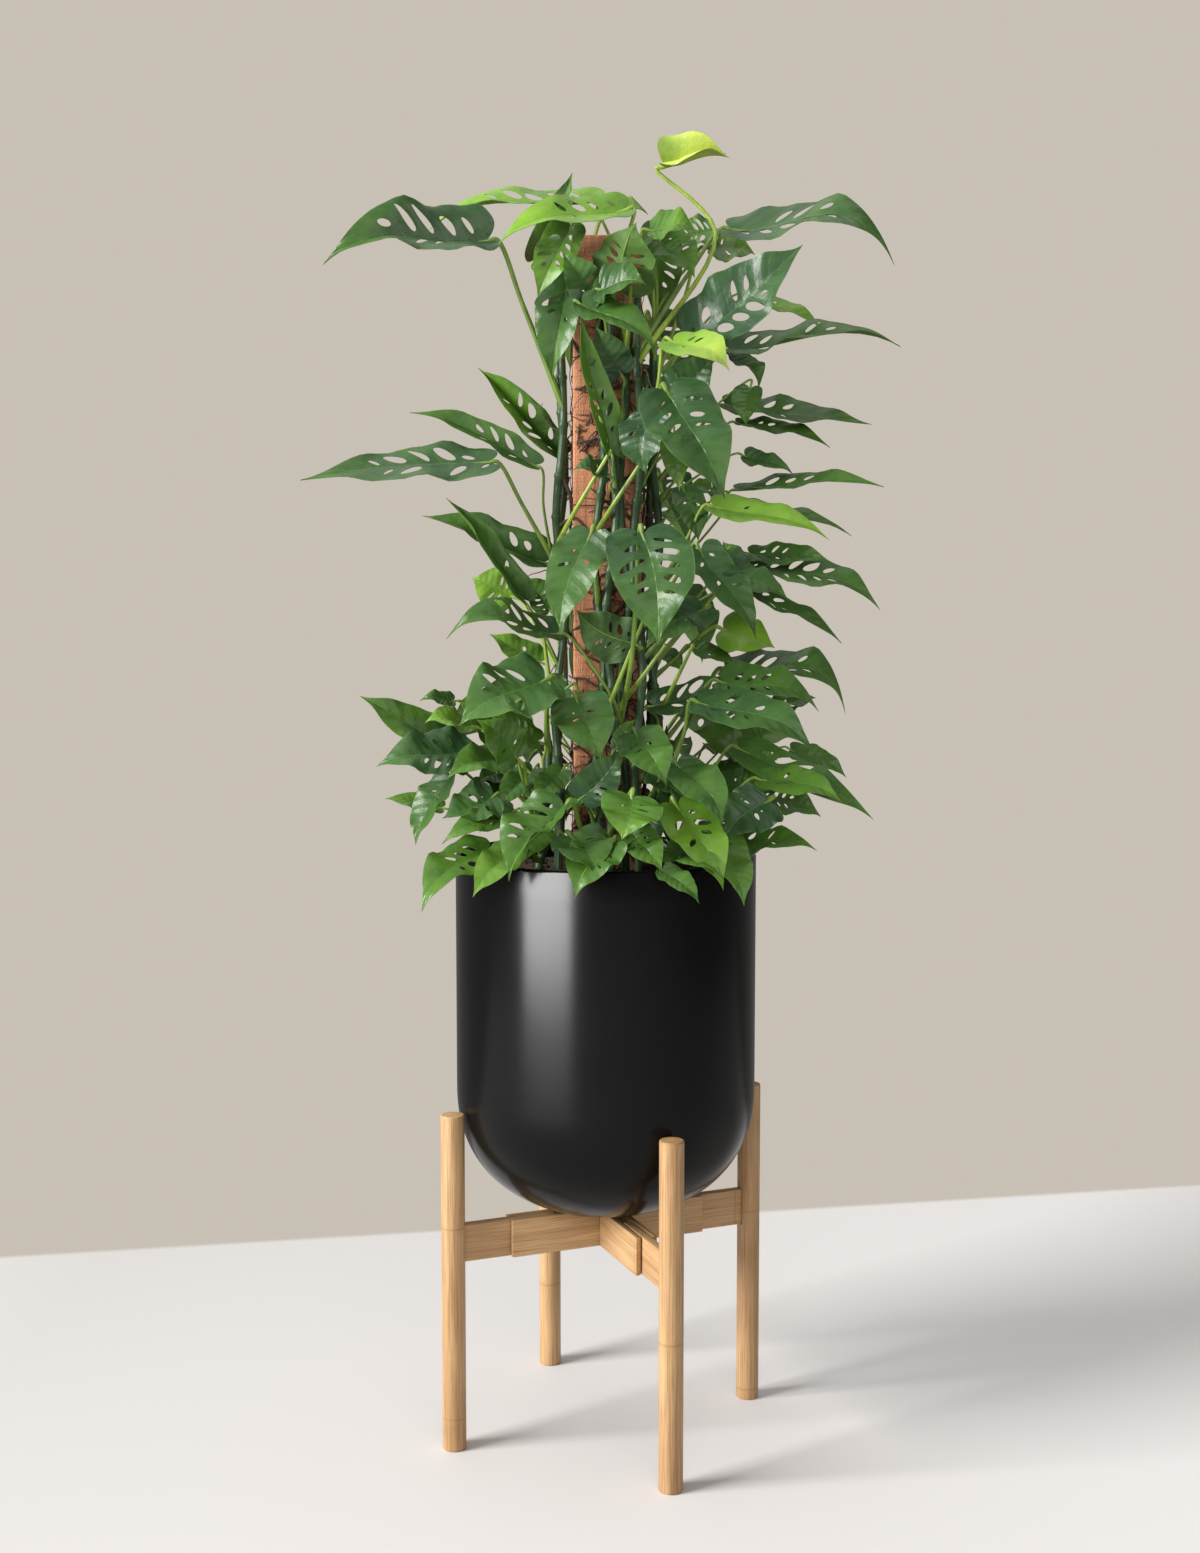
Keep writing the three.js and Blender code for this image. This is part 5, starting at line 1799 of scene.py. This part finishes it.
@dataclass
class Planter:
    """The round-bottomed planter and the soil in it, in metres."""

    radius: float = 0.160
    rim_height: float = 0.628
    wall: float = 0.006
    bottom: float = 0.2423
    straight_from: float = 0.380
    dome_power: float = 2.32
    soil_top: float = 0.604
    soil_mound: float = 0.008
    soil_gap: float = 0.0016
    rim_roll: float = 0.003
    wall_step: float = 0.024
    soil_rings: int = 40
    lump_size: tuple = (0.0022, 0.0012)
    lump_scale: tuple = (90, 260)
    crumbs: int = 420
    crumb_size: tuple = (0.0012, 0.0042)
    seed: int = 7

    def dome(self, radius: float, bottom: float, steps: int) -> list:
        """Gives the round bottom's profile.

        Args:
            radius: the radius where it meets the side.
            bottom: its lowest height.
            steps: how many parts it has.

        Returns:
            Radius and height of each point, from the axis up.
        """
        line = []
        for step in range(steps + 1):
            angle = math.pi / 2 * step / steps
            across = radius * math.sin(angle) ** (2 / self.dome_power)
            down = (self.straight_from - bottom) * max(math.cos(angle), 0.0) ** (2 / self.dome_power)
            line.append((across, self.straight_from - down))
        return line

    def build_bowl(self) -> None:
        """Builds the glazed bowl with its rounded rim."""
        outer = self.dome(self.radius, self.bottom, 40)
        outer += [(self.radius, self.straight_from + self.wall_step * step) for step in range(1, 10)]
        centre = self.radius - self.wall / 2
        roll = [math.pi * step / 10 for step in range(11)]
        rim = [
            (
                centre + self.wall / 2 * math.cos(angle),
                self.rim_height - self.rim_roll + self.rim_roll * math.sin(angle),
            )
            for angle in roll
        ]
        inner = self.dome(self.radius - self.wall, self.bottom + self.wall, 24)
        piece = Bench.turned("glazed_bowl", [*outer, *rim, *reversed(inner)], 144)
        Bench.shade(piece, 40.0)
        Bench.finish(piece, GlazeFinish().make(), ROOT_BODY, "planter_black", ("planter",))

    def surface(self, x: float, y: float) -> float:
        """Gives the height of the soil at a place.

        Args:
            x: metres to the right.
            y: metres to the back.

        Returns:
            The height, metres.
        """
        share = min(math.hypot(x, y) / (self.radius - self.wall), 1.0)
        return self.soil_top + self.soil_mound * (1 - share * share)

    def build_soil(self) -> None:
        """Builds the soil: a lumpy mound with loose crumbs on it."""
        edge = self.radius - self.wall - self.soil_gap
        inner = self.dome(edge, self.bottom + self.wall + 0.0006, 12)
        reaches = [edge * (1 - ring / self.soil_rings) for ring in range(self.soil_rings + 1)]
        top = [(reach, self.surface(reach, 0)) for reach in reaches]
        piece = Bench.turned("potting_soil_mound", [*inner, *top], 120)
        for vertex in piece.data.vertices:
            place = vertex.co
            if place.z > self.soil_top - 0.001 and place.xy.length < edge - 0.002:
                lumps = [
                    noise.noise(place * scale) * size for scale, size in zip(self.lump_scale, self.lump_size)
                ]
                place.z += sum(lumps)
        draw = random.Random(self.seed)
        crumbs = Skin()
        for _ in range(self.crumbs):
            heading = draw.uniform(0, 2 * math.pi)
            reach = (edge - 0.006) * math.sqrt(draw.uniform(0, 1))
            size = draw.uniform(*self.crumb_size)
            centre = Vector((reach * math.cos(heading), reach * math.sin(heading), 0))
            centre.z = self.surface(centre.x, centre.y) + size * 0.3
            self.lay_crumb(crumbs, centre, size, draw)
        loose = crumbs.piece("crumbs", [])
        Bench.pick(piece)
        loose.select_set(True)
        bpy.ops.object.join()
        Bench.shade(piece, 40.0)
        Bench.finish(piece, SoilFinish().make(), ROOT_BODY, "potting_soil", ("soil",))

    def lay_crumb(self, crumbs: Skin, centre: Vector, size: float, draw: random.Random) -> None:
        """Adds one crumb: a squashed five-sided lump.

        Args:
            crumbs: the mesh to add to.
            centre: its middle.
            size: its radius.
            draw: the seeded random draw.
        """
        points = [centre + Vector((0, 0, -size * 0.6))]
        for level, share in ((-0.25, 0.9), (0.3, 0.85)):
            for step in range(5):
                angle = 2 * math.pi * step / 5 + level
                reach = size * share * draw.uniform(0.7, 1.2)
                offset = Vector((reach * math.cos(angle), reach * math.sin(angle), size * level))
                points.append(centre + offset)
        points.append(centre + Vector((0, 0, size * draw.uniform(0.5, 0.8))))
        faces = []
        for step in range(5):
            onward = (step + 1) % 5
            faces.append((0, 1 + onward, 1 + step))
            faces.append((1 + step, 1 + onward, 6 + onward, 6 + step))
            faces.append((11, 6 + step, 6 + onward))
        crumbs.lay(points, faces, 0, 0.0)

    def build(self) -> None:
        """Builds the bowl and the soil."""
        self.build_bowl()
        self.build_soil()


@dataclass
class ClimbingPost:
    """The rough-sawn timber post, in metres."""

    width: float = 0.072
    depth: float = 0.049
    bottom: float = 0.330
    top: float = 1.269
    edge: float = 0.0025
    slices: int = 200
    strips: tuple = (10, 7)
    saw_depth: float = 0.00030
    warp_depth: float = 0.0009
    worn: float = 0.0004

    def build(self) -> None:
        """Builds the post with worn edges and a rough face."""
        size = (self.width, self.depth, self.top - self.bottom)
        piece = Bench.block("sawn_post", size, (POST_CENTRE_X, 0, (self.top + self.bottom) / 2))
        modifier = piece.modifiers.new("edges", "BEVEL")
        modifier.width = self.edge
        modifier.segments = 3
        Bench.apply_modifiers(piece)
        self.slice_up(piece)
        for vertex in piece.data.vertices:
            place = vertex.co
            saw = noise.noise(Vector((place.x * 30, place.y * 30, place.z * 260))) * self.saw_depth
            warp = noise.noise(Vector((place.x * 25, place.y * 25, place.z * 9))) * self.warp_depth
            outward = Vector((place.x - POST_CENTRE_X, place.y, 0)).normalized()
            place += outward * (saw + warp - self.worn)
        Bench.shade(piece, 50.0)
        Bench.finish(piece, TimberFinish().make(), ROOT_BODY, "reddish_timber", ("climbing_post",))

    def slice_up(self, piece: bpy.types.Object) -> None:
        """Cuts the post into thin slices and narrow strips, so that it can be roughened.

        Args:
            piece: the post.
        """
        Bench.pick(piece)
        bpy.ops.object.mode_set(mode="EDIT")
        for row in range(1, self.slices):
            height = self.bottom + 0.004 + (self.top - self.bottom - 0.008) * row / self.slices
            self.bisect((0, 0, height), (0, 0, 1))
        across, deep = self.strips
        for column in range(1, across):
            self.bisect((POST_CENTRE_X + self.width * (column / across - 0.5), 0, 0), (1, 0, 0))
        for column in range(1, deep):
            self.bisect((0, self.depth * (column / deep - 0.5), 0), (0, 1, 0))
        bpy.ops.object.mode_set(mode="OBJECT")

    @staticmethod
    def bisect(place: tuple, normal: tuple) -> None:
        """Cuts all faces along a plane, and keeps both halves.

        Args:
            place: a point of the plane.
            normal: its direction.
        """
        bpy.ops.mesh.select_all(action="SELECT")
        bpy.ops.mesh.bisect(plane_co=place, plane_no=normal)


# Knots of root fibres on the post: place round it from the front's middle, height, spread
KNOTS = (
    (0.026, 1.075, 0.020),
    (-0.020, 1.065, 0.014),
    (0.030, 1.165, 0.012),
    (0.012, 0.930, 0.018),
    (0.022, 0.860, 0.020),
    (0.016, 0.790, 0.022),
    (0.024, 0.720, 0.022),
    (0.002, 0.660, 0.020),
)


@dataclass
class AerialRoots:
    """Dark roots that reach from the stems to the post and creep over it, and knots of fibres.

    Steps and radii are in metres.

    Args:
        post: the post that they hold.
        stems: the stems that they grow from.
    """

    post: ClimbingPost
    stems: list
    thin: int = 150
    stout: int = 84
    wisps: int = 22
    knot_fibres: int = 24
    step: float = 0.007
    corner: float = 0.006
    stout_radius: tuple = (0.0011, 0.0025)
    thin_radius: tuple = (0.0004, 0.0010)
    fibre_radius: tuple = (0.0005, 0.0012)
    wisp_radius: float = 0.0007
    seed: int = 23

    def on_post(self, girth: float, height: float, off: float) -> Vector:
        """Gives a point just off the post's surface.

        Args:
            girth: metres round the post from the middle of its front, positive to the right.
            height: metres above the floor.
            off: metres off the surface.

        Returns:
            The point.
        """
        half_width = self.post.width / 2
        half_depth = self.post.depth / 2
        side = 1 if girth >= 0 else -1
        rest = abs(girth)
        turn = self.corner
        if rest <= half_width - turn:
            return Vector((POST_CENTRE_X + side * rest, -half_depth - off, height))
        rest -= half_width - turn
        bend = (turn + off) * math.pi / 2
        if rest <= bend:
            angle = rest / (turn + off)
            x = half_width - turn + (turn + off) * math.sin(angle)
            y = -half_depth + turn - (turn + off) * math.cos(angle)
            return Vector((POST_CENTRE_X + side * x, y, height))
        rest -= bend
        y = min(-half_depth + turn + rest, half_depth)
        return Vector((POST_CENTRE_X + side * (half_width + off), y, height))

    def girth_by(self, place: Vector) -> float:
        """Gives the place round the post that is nearest to a stem.

        Args:
            place: a point on the stem's axis.

        Returns:
            Metres round the post from the middle of its front.
        """
        x = place.x - POST_CENTRE_X
        if place.y < -self.post.depth / 2 or abs(x) < self.post.width / 2:
            return max(min(x, self.post.width / 2), -self.post.width / 2)
        return math.copysign(self.post.width / 2 + place.y + self.post.depth / 2, x)

    def creep(self, draw: random.Random, girth: float, height: float, length: float, radius: float) -> list:
        """Draws the axis of one root as it wanders over the post.

        Args:
            draw: the seeded random draw.
            girth: where it starts round the post.
            height: where it starts in height.
            length: how long it is.
            radius: how thick it is.

        Returns:
            The points of the axis.
        """
        heading = draw.uniform(-1.5, 1.5) + (0 if draw.random() < 0.5 else math.pi)
        line = []
        for index in range(max(int(length / self.step), 4)):
            lift = radius * 0.7 + 0.0025 * max(0.0, math.sin(index * 0.7 + girth * 90))
            height = min(height, self.post.top - 0.004)
            line.append(self.on_post(girth, height, lift))
            heading += draw.uniform(-0.5, 0.5)
            girth += self.step * math.cos(heading)
            height += self.step * 0.8 * math.sin(heading)
        return line

    def lay_root(self, skin: Skin, line: list, radius: float, sides: int) -> None:
        """Adds one tapered root.

        Args:
            skin: the mesh to add to.
            line: the points of its axis.
            radius: its radius where it starts.
            sides: how many faces go round.
        """
        last = len(line) - 1
        skin.tube(line, [radius * (1 - 0.65 * step / last) for step in range(last + 1)], sides, 0, 0.0)

    def lay_from_stem(self, skin: Skin, draw: random.Random, stout: bool) -> None:
        """Adds a root that leaves a stem for the post.

        Args:
            skin: the mesh to add to.
            draw: the seeded random draw.
            stout: True for a thick one.
        """
        stem = draw.choice(self.stems)
        height = draw.uniform(SOIL_SURFACE + 0.02, min(stem.top, self.post.top) - 0.02)
        start = stem.point(height)
        radius = draw.uniform(*(self.stout_radius if stout else self.thin_radius))
        length = draw.uniform(0.05, 0.12) if stout else draw.uniform(0.04, 0.13)
        girth = self.girth_by(start) + draw.uniform(-0.008, 0.008)
        line = self.creep(draw, girth, height + draw.uniform(-0.02, 0.012), length, radius)
        self.lay_root(skin, smooth_line([start, *line[1::2]], 2), radius, 6 if stout else 5)

    def lay_wisp(self, skin: Skin, draw: random.Random) -> None:
        """Adds a thin root that curls freely in the air beside the post.

        Args:
            skin: the mesh to add to.
            draw: the seeded random draw.
        """
        stem = draw.choice(self.stems)
        point = stem.point(draw.uniform(0.72, stem.top - 0.03))
        heading = Vector((math.copysign(1, point.x), -0.25, draw.uniform(-0.7, 0.5))).normalized()
        line = [point]
        for _ in range(draw.randint(4, 8)):
            stray = Vector([draw.uniform(-0.5, 0.5) for _ in range(3)])
            heading = (heading + stray + Vector((0, 0, -0.12))).normalized()
            line.append(line[-1] + heading * 0.008)
        self.lay_root(skin, smooth_line(line, 2), self.wisp_radius, 5)

    def build(self) -> None:
        """Builds all the roots as one piece."""
        draw = random.Random(self.seed)
        skin = Skin()
        for index in range(self.thin + self.stout):
            self.lay_from_stem(skin, draw, index >= self.thin)
        for _ in range(self.wisps):
            self.lay_wisp(skin, draw)
        for centre, height, spread in KNOTS:
            for _ in range(self.knot_fibres):
                girth = centre + draw.gauss(0, spread * 0.5)
                start = height + draw.gauss(0, spread)
                radius = draw.uniform(*self.fibre_radius)
                line = self.creep(draw, girth, start, draw.uniform(0.02, 0.055), radius)
                self.lay_root(skin, smooth_line(line[::2], 3), radius, 5)
        piece = skin.piece("aerial_roots", [])
        Bench.finish(piece, RootFinish().make(), ROOT_BODY, "reddish_timber", ())


class Lit(Enum):
    """What a lamp lights."""

    ALL_BUT_BOWL = "all_but_bowl"
    VINES = "vines"
    BOWL = "bowl"


@dataclass(frozen=True)
class SoftBox:
    """A rectangular soft lamp.

    Args:
        name: its name.
        lit: what it lights.
        place: where it hangs, metres.
        target: what it points at, metres.
        size: its width and height, metres.
        power: its power, watts.
        colour: its colour.
    """

    name: str
    lit: Lit
    place: tuple
    target: tuple
    size: tuple
    power: float
    colour: tuple = WHITE


LAMPS = (
    SoftBox("key", Lit.ALL_BUT_BOWL, (-5.0, -2.1, 2.7), (0, 0, 0.7), (2.5, 2.9), 660.0, (1.0, 0.99, 0.975)),
    SoftBox("front_fill", Lit.ALL_BUT_BOWL, (0.4, -4.2, 2.4), (0, 0, 0.8), (3.0, 2.4), 36.0),
    SoftBox("top", Lit.ALL_BUT_BOWL, (-0.4, 0.2, 3.4), (0, 0, 0.6), (3.6, 3.6), 45.0),
    SoftBox("leaf_fill", Lit.VINES, (2.7, -2.9, 2.3), (0, 0, 0.9), (2.8, 2.4), 52.0, (1.0, 1.0, 0.97)),
    SoftBox("gloss", Lit.BOWL, (-1.70, -1.79, 1.02), (0, 0, 0.5), (1.75, 2.0), 600.0),
)


@dataclass
class Studio:
    """A pale floor that ends behind the plant, with painted shade that darkens it towards the left, a warm
    grey room, soft lamps and the camera.
    """

    wall: tuple = (0.58, 0.53, 0.46)
    # Painted shade: the floor's colour runs from this darker left end to the right end, which evens out the
    # key lamp's stronger light on the left
    floor_left_painted_shade: tuple = (0.535, 0.52, 0.51)
    floor_right: tuple = (0.79, 0.765, 0.755)
    floor_depth: float = 0.673
    floor_skew: float = 0.185
    floor_blur: float = 0.007
    room_light: tuple = (0.92, 0.90, 0.87)
    ambient: float = 0.27
    reflected: float = 0.22
    photo_size: tuple = (1200, 1553)
    focal_pixels: float = 1819.19
    camera_place: tuple = (-0.00617, -1.93025, 0.86711)
    camera_pitch: float = 4.688

    def build(self) -> None:
        """Builds the floor, the room's light, the lamps and the camera."""
        self.build_floor()
        self.build_world()
        bowl = [bpy.data.objects["glazed_bowl"]]
        vines = [piece for piece in bpy.data.objects if piece.name.startswith("climbing_vine")]
        groups = {
            Lit.ALL_BUT_BOWL: (bowl, "EXCLUDE"),
            Lit.VINES: (vines, "INCLUDE"),
            Lit.BOWL: (bowl, "INCLUDE"),
        }
        for box in LAMPS:
            self.light_only(self.lamp(box), *groups[box.lit])
        self.build_camera()
        bpy.context.scene.view_settings.view_transform = "Standard"

    def build_floor(self) -> None:
        """Builds the floor, which ends in a soft edge behind the plant and far to the sides. Its colour has
        painted shade: darker towards the left, where the key lamp lights it most.
        """
        Bench.clear()
        bpy.ops.mesh.primitive_plane_add(size=8.0)
        floor = bpy.context.object
        floor.name = "studio_floor"
        graph = Graph("painted_shade_floor")
        where = graph.add("ShaderNodeTexCoord").outputs["Object"]
        split = graph.add("ShaderNodeSeparateXYZ", {0: where})
        sideways = graph.math("MULTIPLY", graph.math("ABSOLUTE", split.outputs[0]), 0.25)
        back = graph.math("MULTIPLY_ADD", split.outputs[0], -self.floor_skew, split.outputs[1])
        reach = graph.math("MAXIMUM", sideways, back)
        fade = graph.fade(reach, self.floor_depth - self.floor_blur, self.floor_depth + self.floor_blur)
        grit = graph.noise(where, 700.0, 2.0)
        # Painted shade: darker towards the left, where the key lamp lights the floor most, so the floor
        # looks evenly lit
        rightward = graph.math("MULTIPLY_ADD", split.outputs[0], 0.5, 0.5)
        painted_shade_paper = graph.ramp(rightward, [(0.15, self.floor_left_painted_shade), (0.85, self.floor_right)])
        graph.wear(Base_Color=painted_shade_paper, Roughness=0.85, Normal=graph.bump(grit, 0.15, 0.0005))
        clear = graph.add("ShaderNodeBsdfTransparent")
        shaders = {0: fade, 1: graph.surface.outputs[0], 2: clear.outputs[0]}
        mix = graph.add("ShaderNodeMixShader", shaders)
        output = next(node for node in graph.nodes if node.type == "OUTPUT_MATERIAL")
        graph.links.new(mix.outputs[0], output.inputs["Surface"])
        floor.data.materials.append(graph.material)

    def build_world(self) -> None:
        """Builds the warm grey room: bright to look at, dimmer as a light."""
        world = bpy.data.worlds.new("room")
        world.use_nodes = True
        bpy.context.scene.world = world
        nodes, links = world.node_tree.nodes, world.node_tree.links
        nodes.clear()
        backgrounds = []
        for colour, strength in (
            (self.wall, 1.0),
            (self.room_light, self.ambient),
            (self.room_light, self.reflected),
        ):
            background = nodes.new("ShaderNodeBackground")
            background.inputs["Color"].default_value = (*colour, 1.0)
            background.inputs["Strength"].default_value = strength
            backgrounds.append(background.outputs[0])
        seen, cast, shown = backgrounds
        path = nodes.new("ShaderNodeLightPath")
        cast_mix = nodes.new("ShaderNodeMixShader")
        mix = nodes.new("ShaderNodeMixShader")
        output = nodes.new("ShaderNodeOutputWorld")
        links.new(path.outputs["Is Glossy Ray"], cast_mix.inputs[0])
        links.new(cast, cast_mix.inputs[1])
        links.new(shown, cast_mix.inputs[2])
        links.new(path.outputs["Is Camera Ray"], mix.inputs[0])
        links.new(cast_mix.outputs[0], mix.inputs[1])
        links.new(seen, mix.inputs[2])
        links.new(mix.outputs[0], output.inputs["Surface"])

    @staticmethod
    def lamp(box: SoftBox) -> bpy.types.Object:
        """Hangs a lamp.

        Args:
            box: the lamp's row.

        Returns:
            The lamp.
        """
        light = bpy.data.lights.new(box.name, "AREA")
        light.shape = "RECTANGLE"
        light.size, light.size_y = box.size
        light.energy = box.power
        light.color = box.colour
        lamp = bpy.data.objects.new(box.name, light)
        lamp.location = box.place
        aim = Vector(box.target) - Vector(box.place)
        lamp.rotation_euler = aim.to_track_quat("-Z", "Y").to_euler()
        bpy.context.scene.collection.objects.link(lamp)
        return lamp

    @staticmethod
    def light_only(lamp: bpy.types.Object, pieces: list, state: str) -> None:
        """Keeps a lamp to some pieces, or keeps them out of its light.

        Args:
            lamp: the lamp.
            pieces: the pieces.
            state: INCLUDE or EXCLUDE.
        """
        group = bpy.data.collections.new(f"{lamp.name}_lit")
        for piece in pieces:
            group.objects.link(piece)
        lamp.light_linking.receiver_collection = group
        for member in group.collection_objects:
            member.light_linking.link_state = state

    def build_camera(self) -> None:
        """Sets the camera where the photograph was taken from."""
        lens = bpy.data.cameras.new("photo_camera")
        lens.sensor_width = 36.0
        lens.lens = self.focal_pixels / max(self.photo_size) * lens.sensor_width
        camera = bpy.data.objects.new("photo_camera", lens)
        camera.location = self.camera_place
        camera.rotation_euler = (math.radians(90 - self.camera_pitch), 0, 0)
        bpy.context.scene.collection.objects.link(camera)
        bpy.context.scene.camera = camera


def main() -> None:
    """Builds the whole part, then the studio, and logs each piece's number of faces."""
    logging.basicConfig(level=logging.INFO, format="%(name)s %(message)s")
    Stand().build()
    Planter().build()
    post = ClimbingPost()
    post.build()
    stems = [read_stem(row, index) for index, row in enumerate(PLAN)]
    AerialRoots(post, [stem for stem in stems if stem.top > 1.0]).build()
    looks = [
        BladeFinish(False).make(),
        BladeFinish(True).make(),
        StalkFinish("leaf_stalk", old=(0.055, 0.130, 0.026), young=(0.30, 0.42, 0.06)).make(),
        StalkFinish("vine_stem", old=(0.014, 0.040, 0.017), young=(0.052, 0.112, 0.032)).make(),
    ]
    foliage = Foliage()
    for stem, row in zip(stems, PLAN):
        leaves = [read_leaf(leaf, place) for place, leaf in enumerate(row.leaves)]
        Vine(stem, leaves).build(foliage, looks)
    BareStalks(stems).build(looks[2])
    Studio().build()


if __name__ == "__main__":
    main()
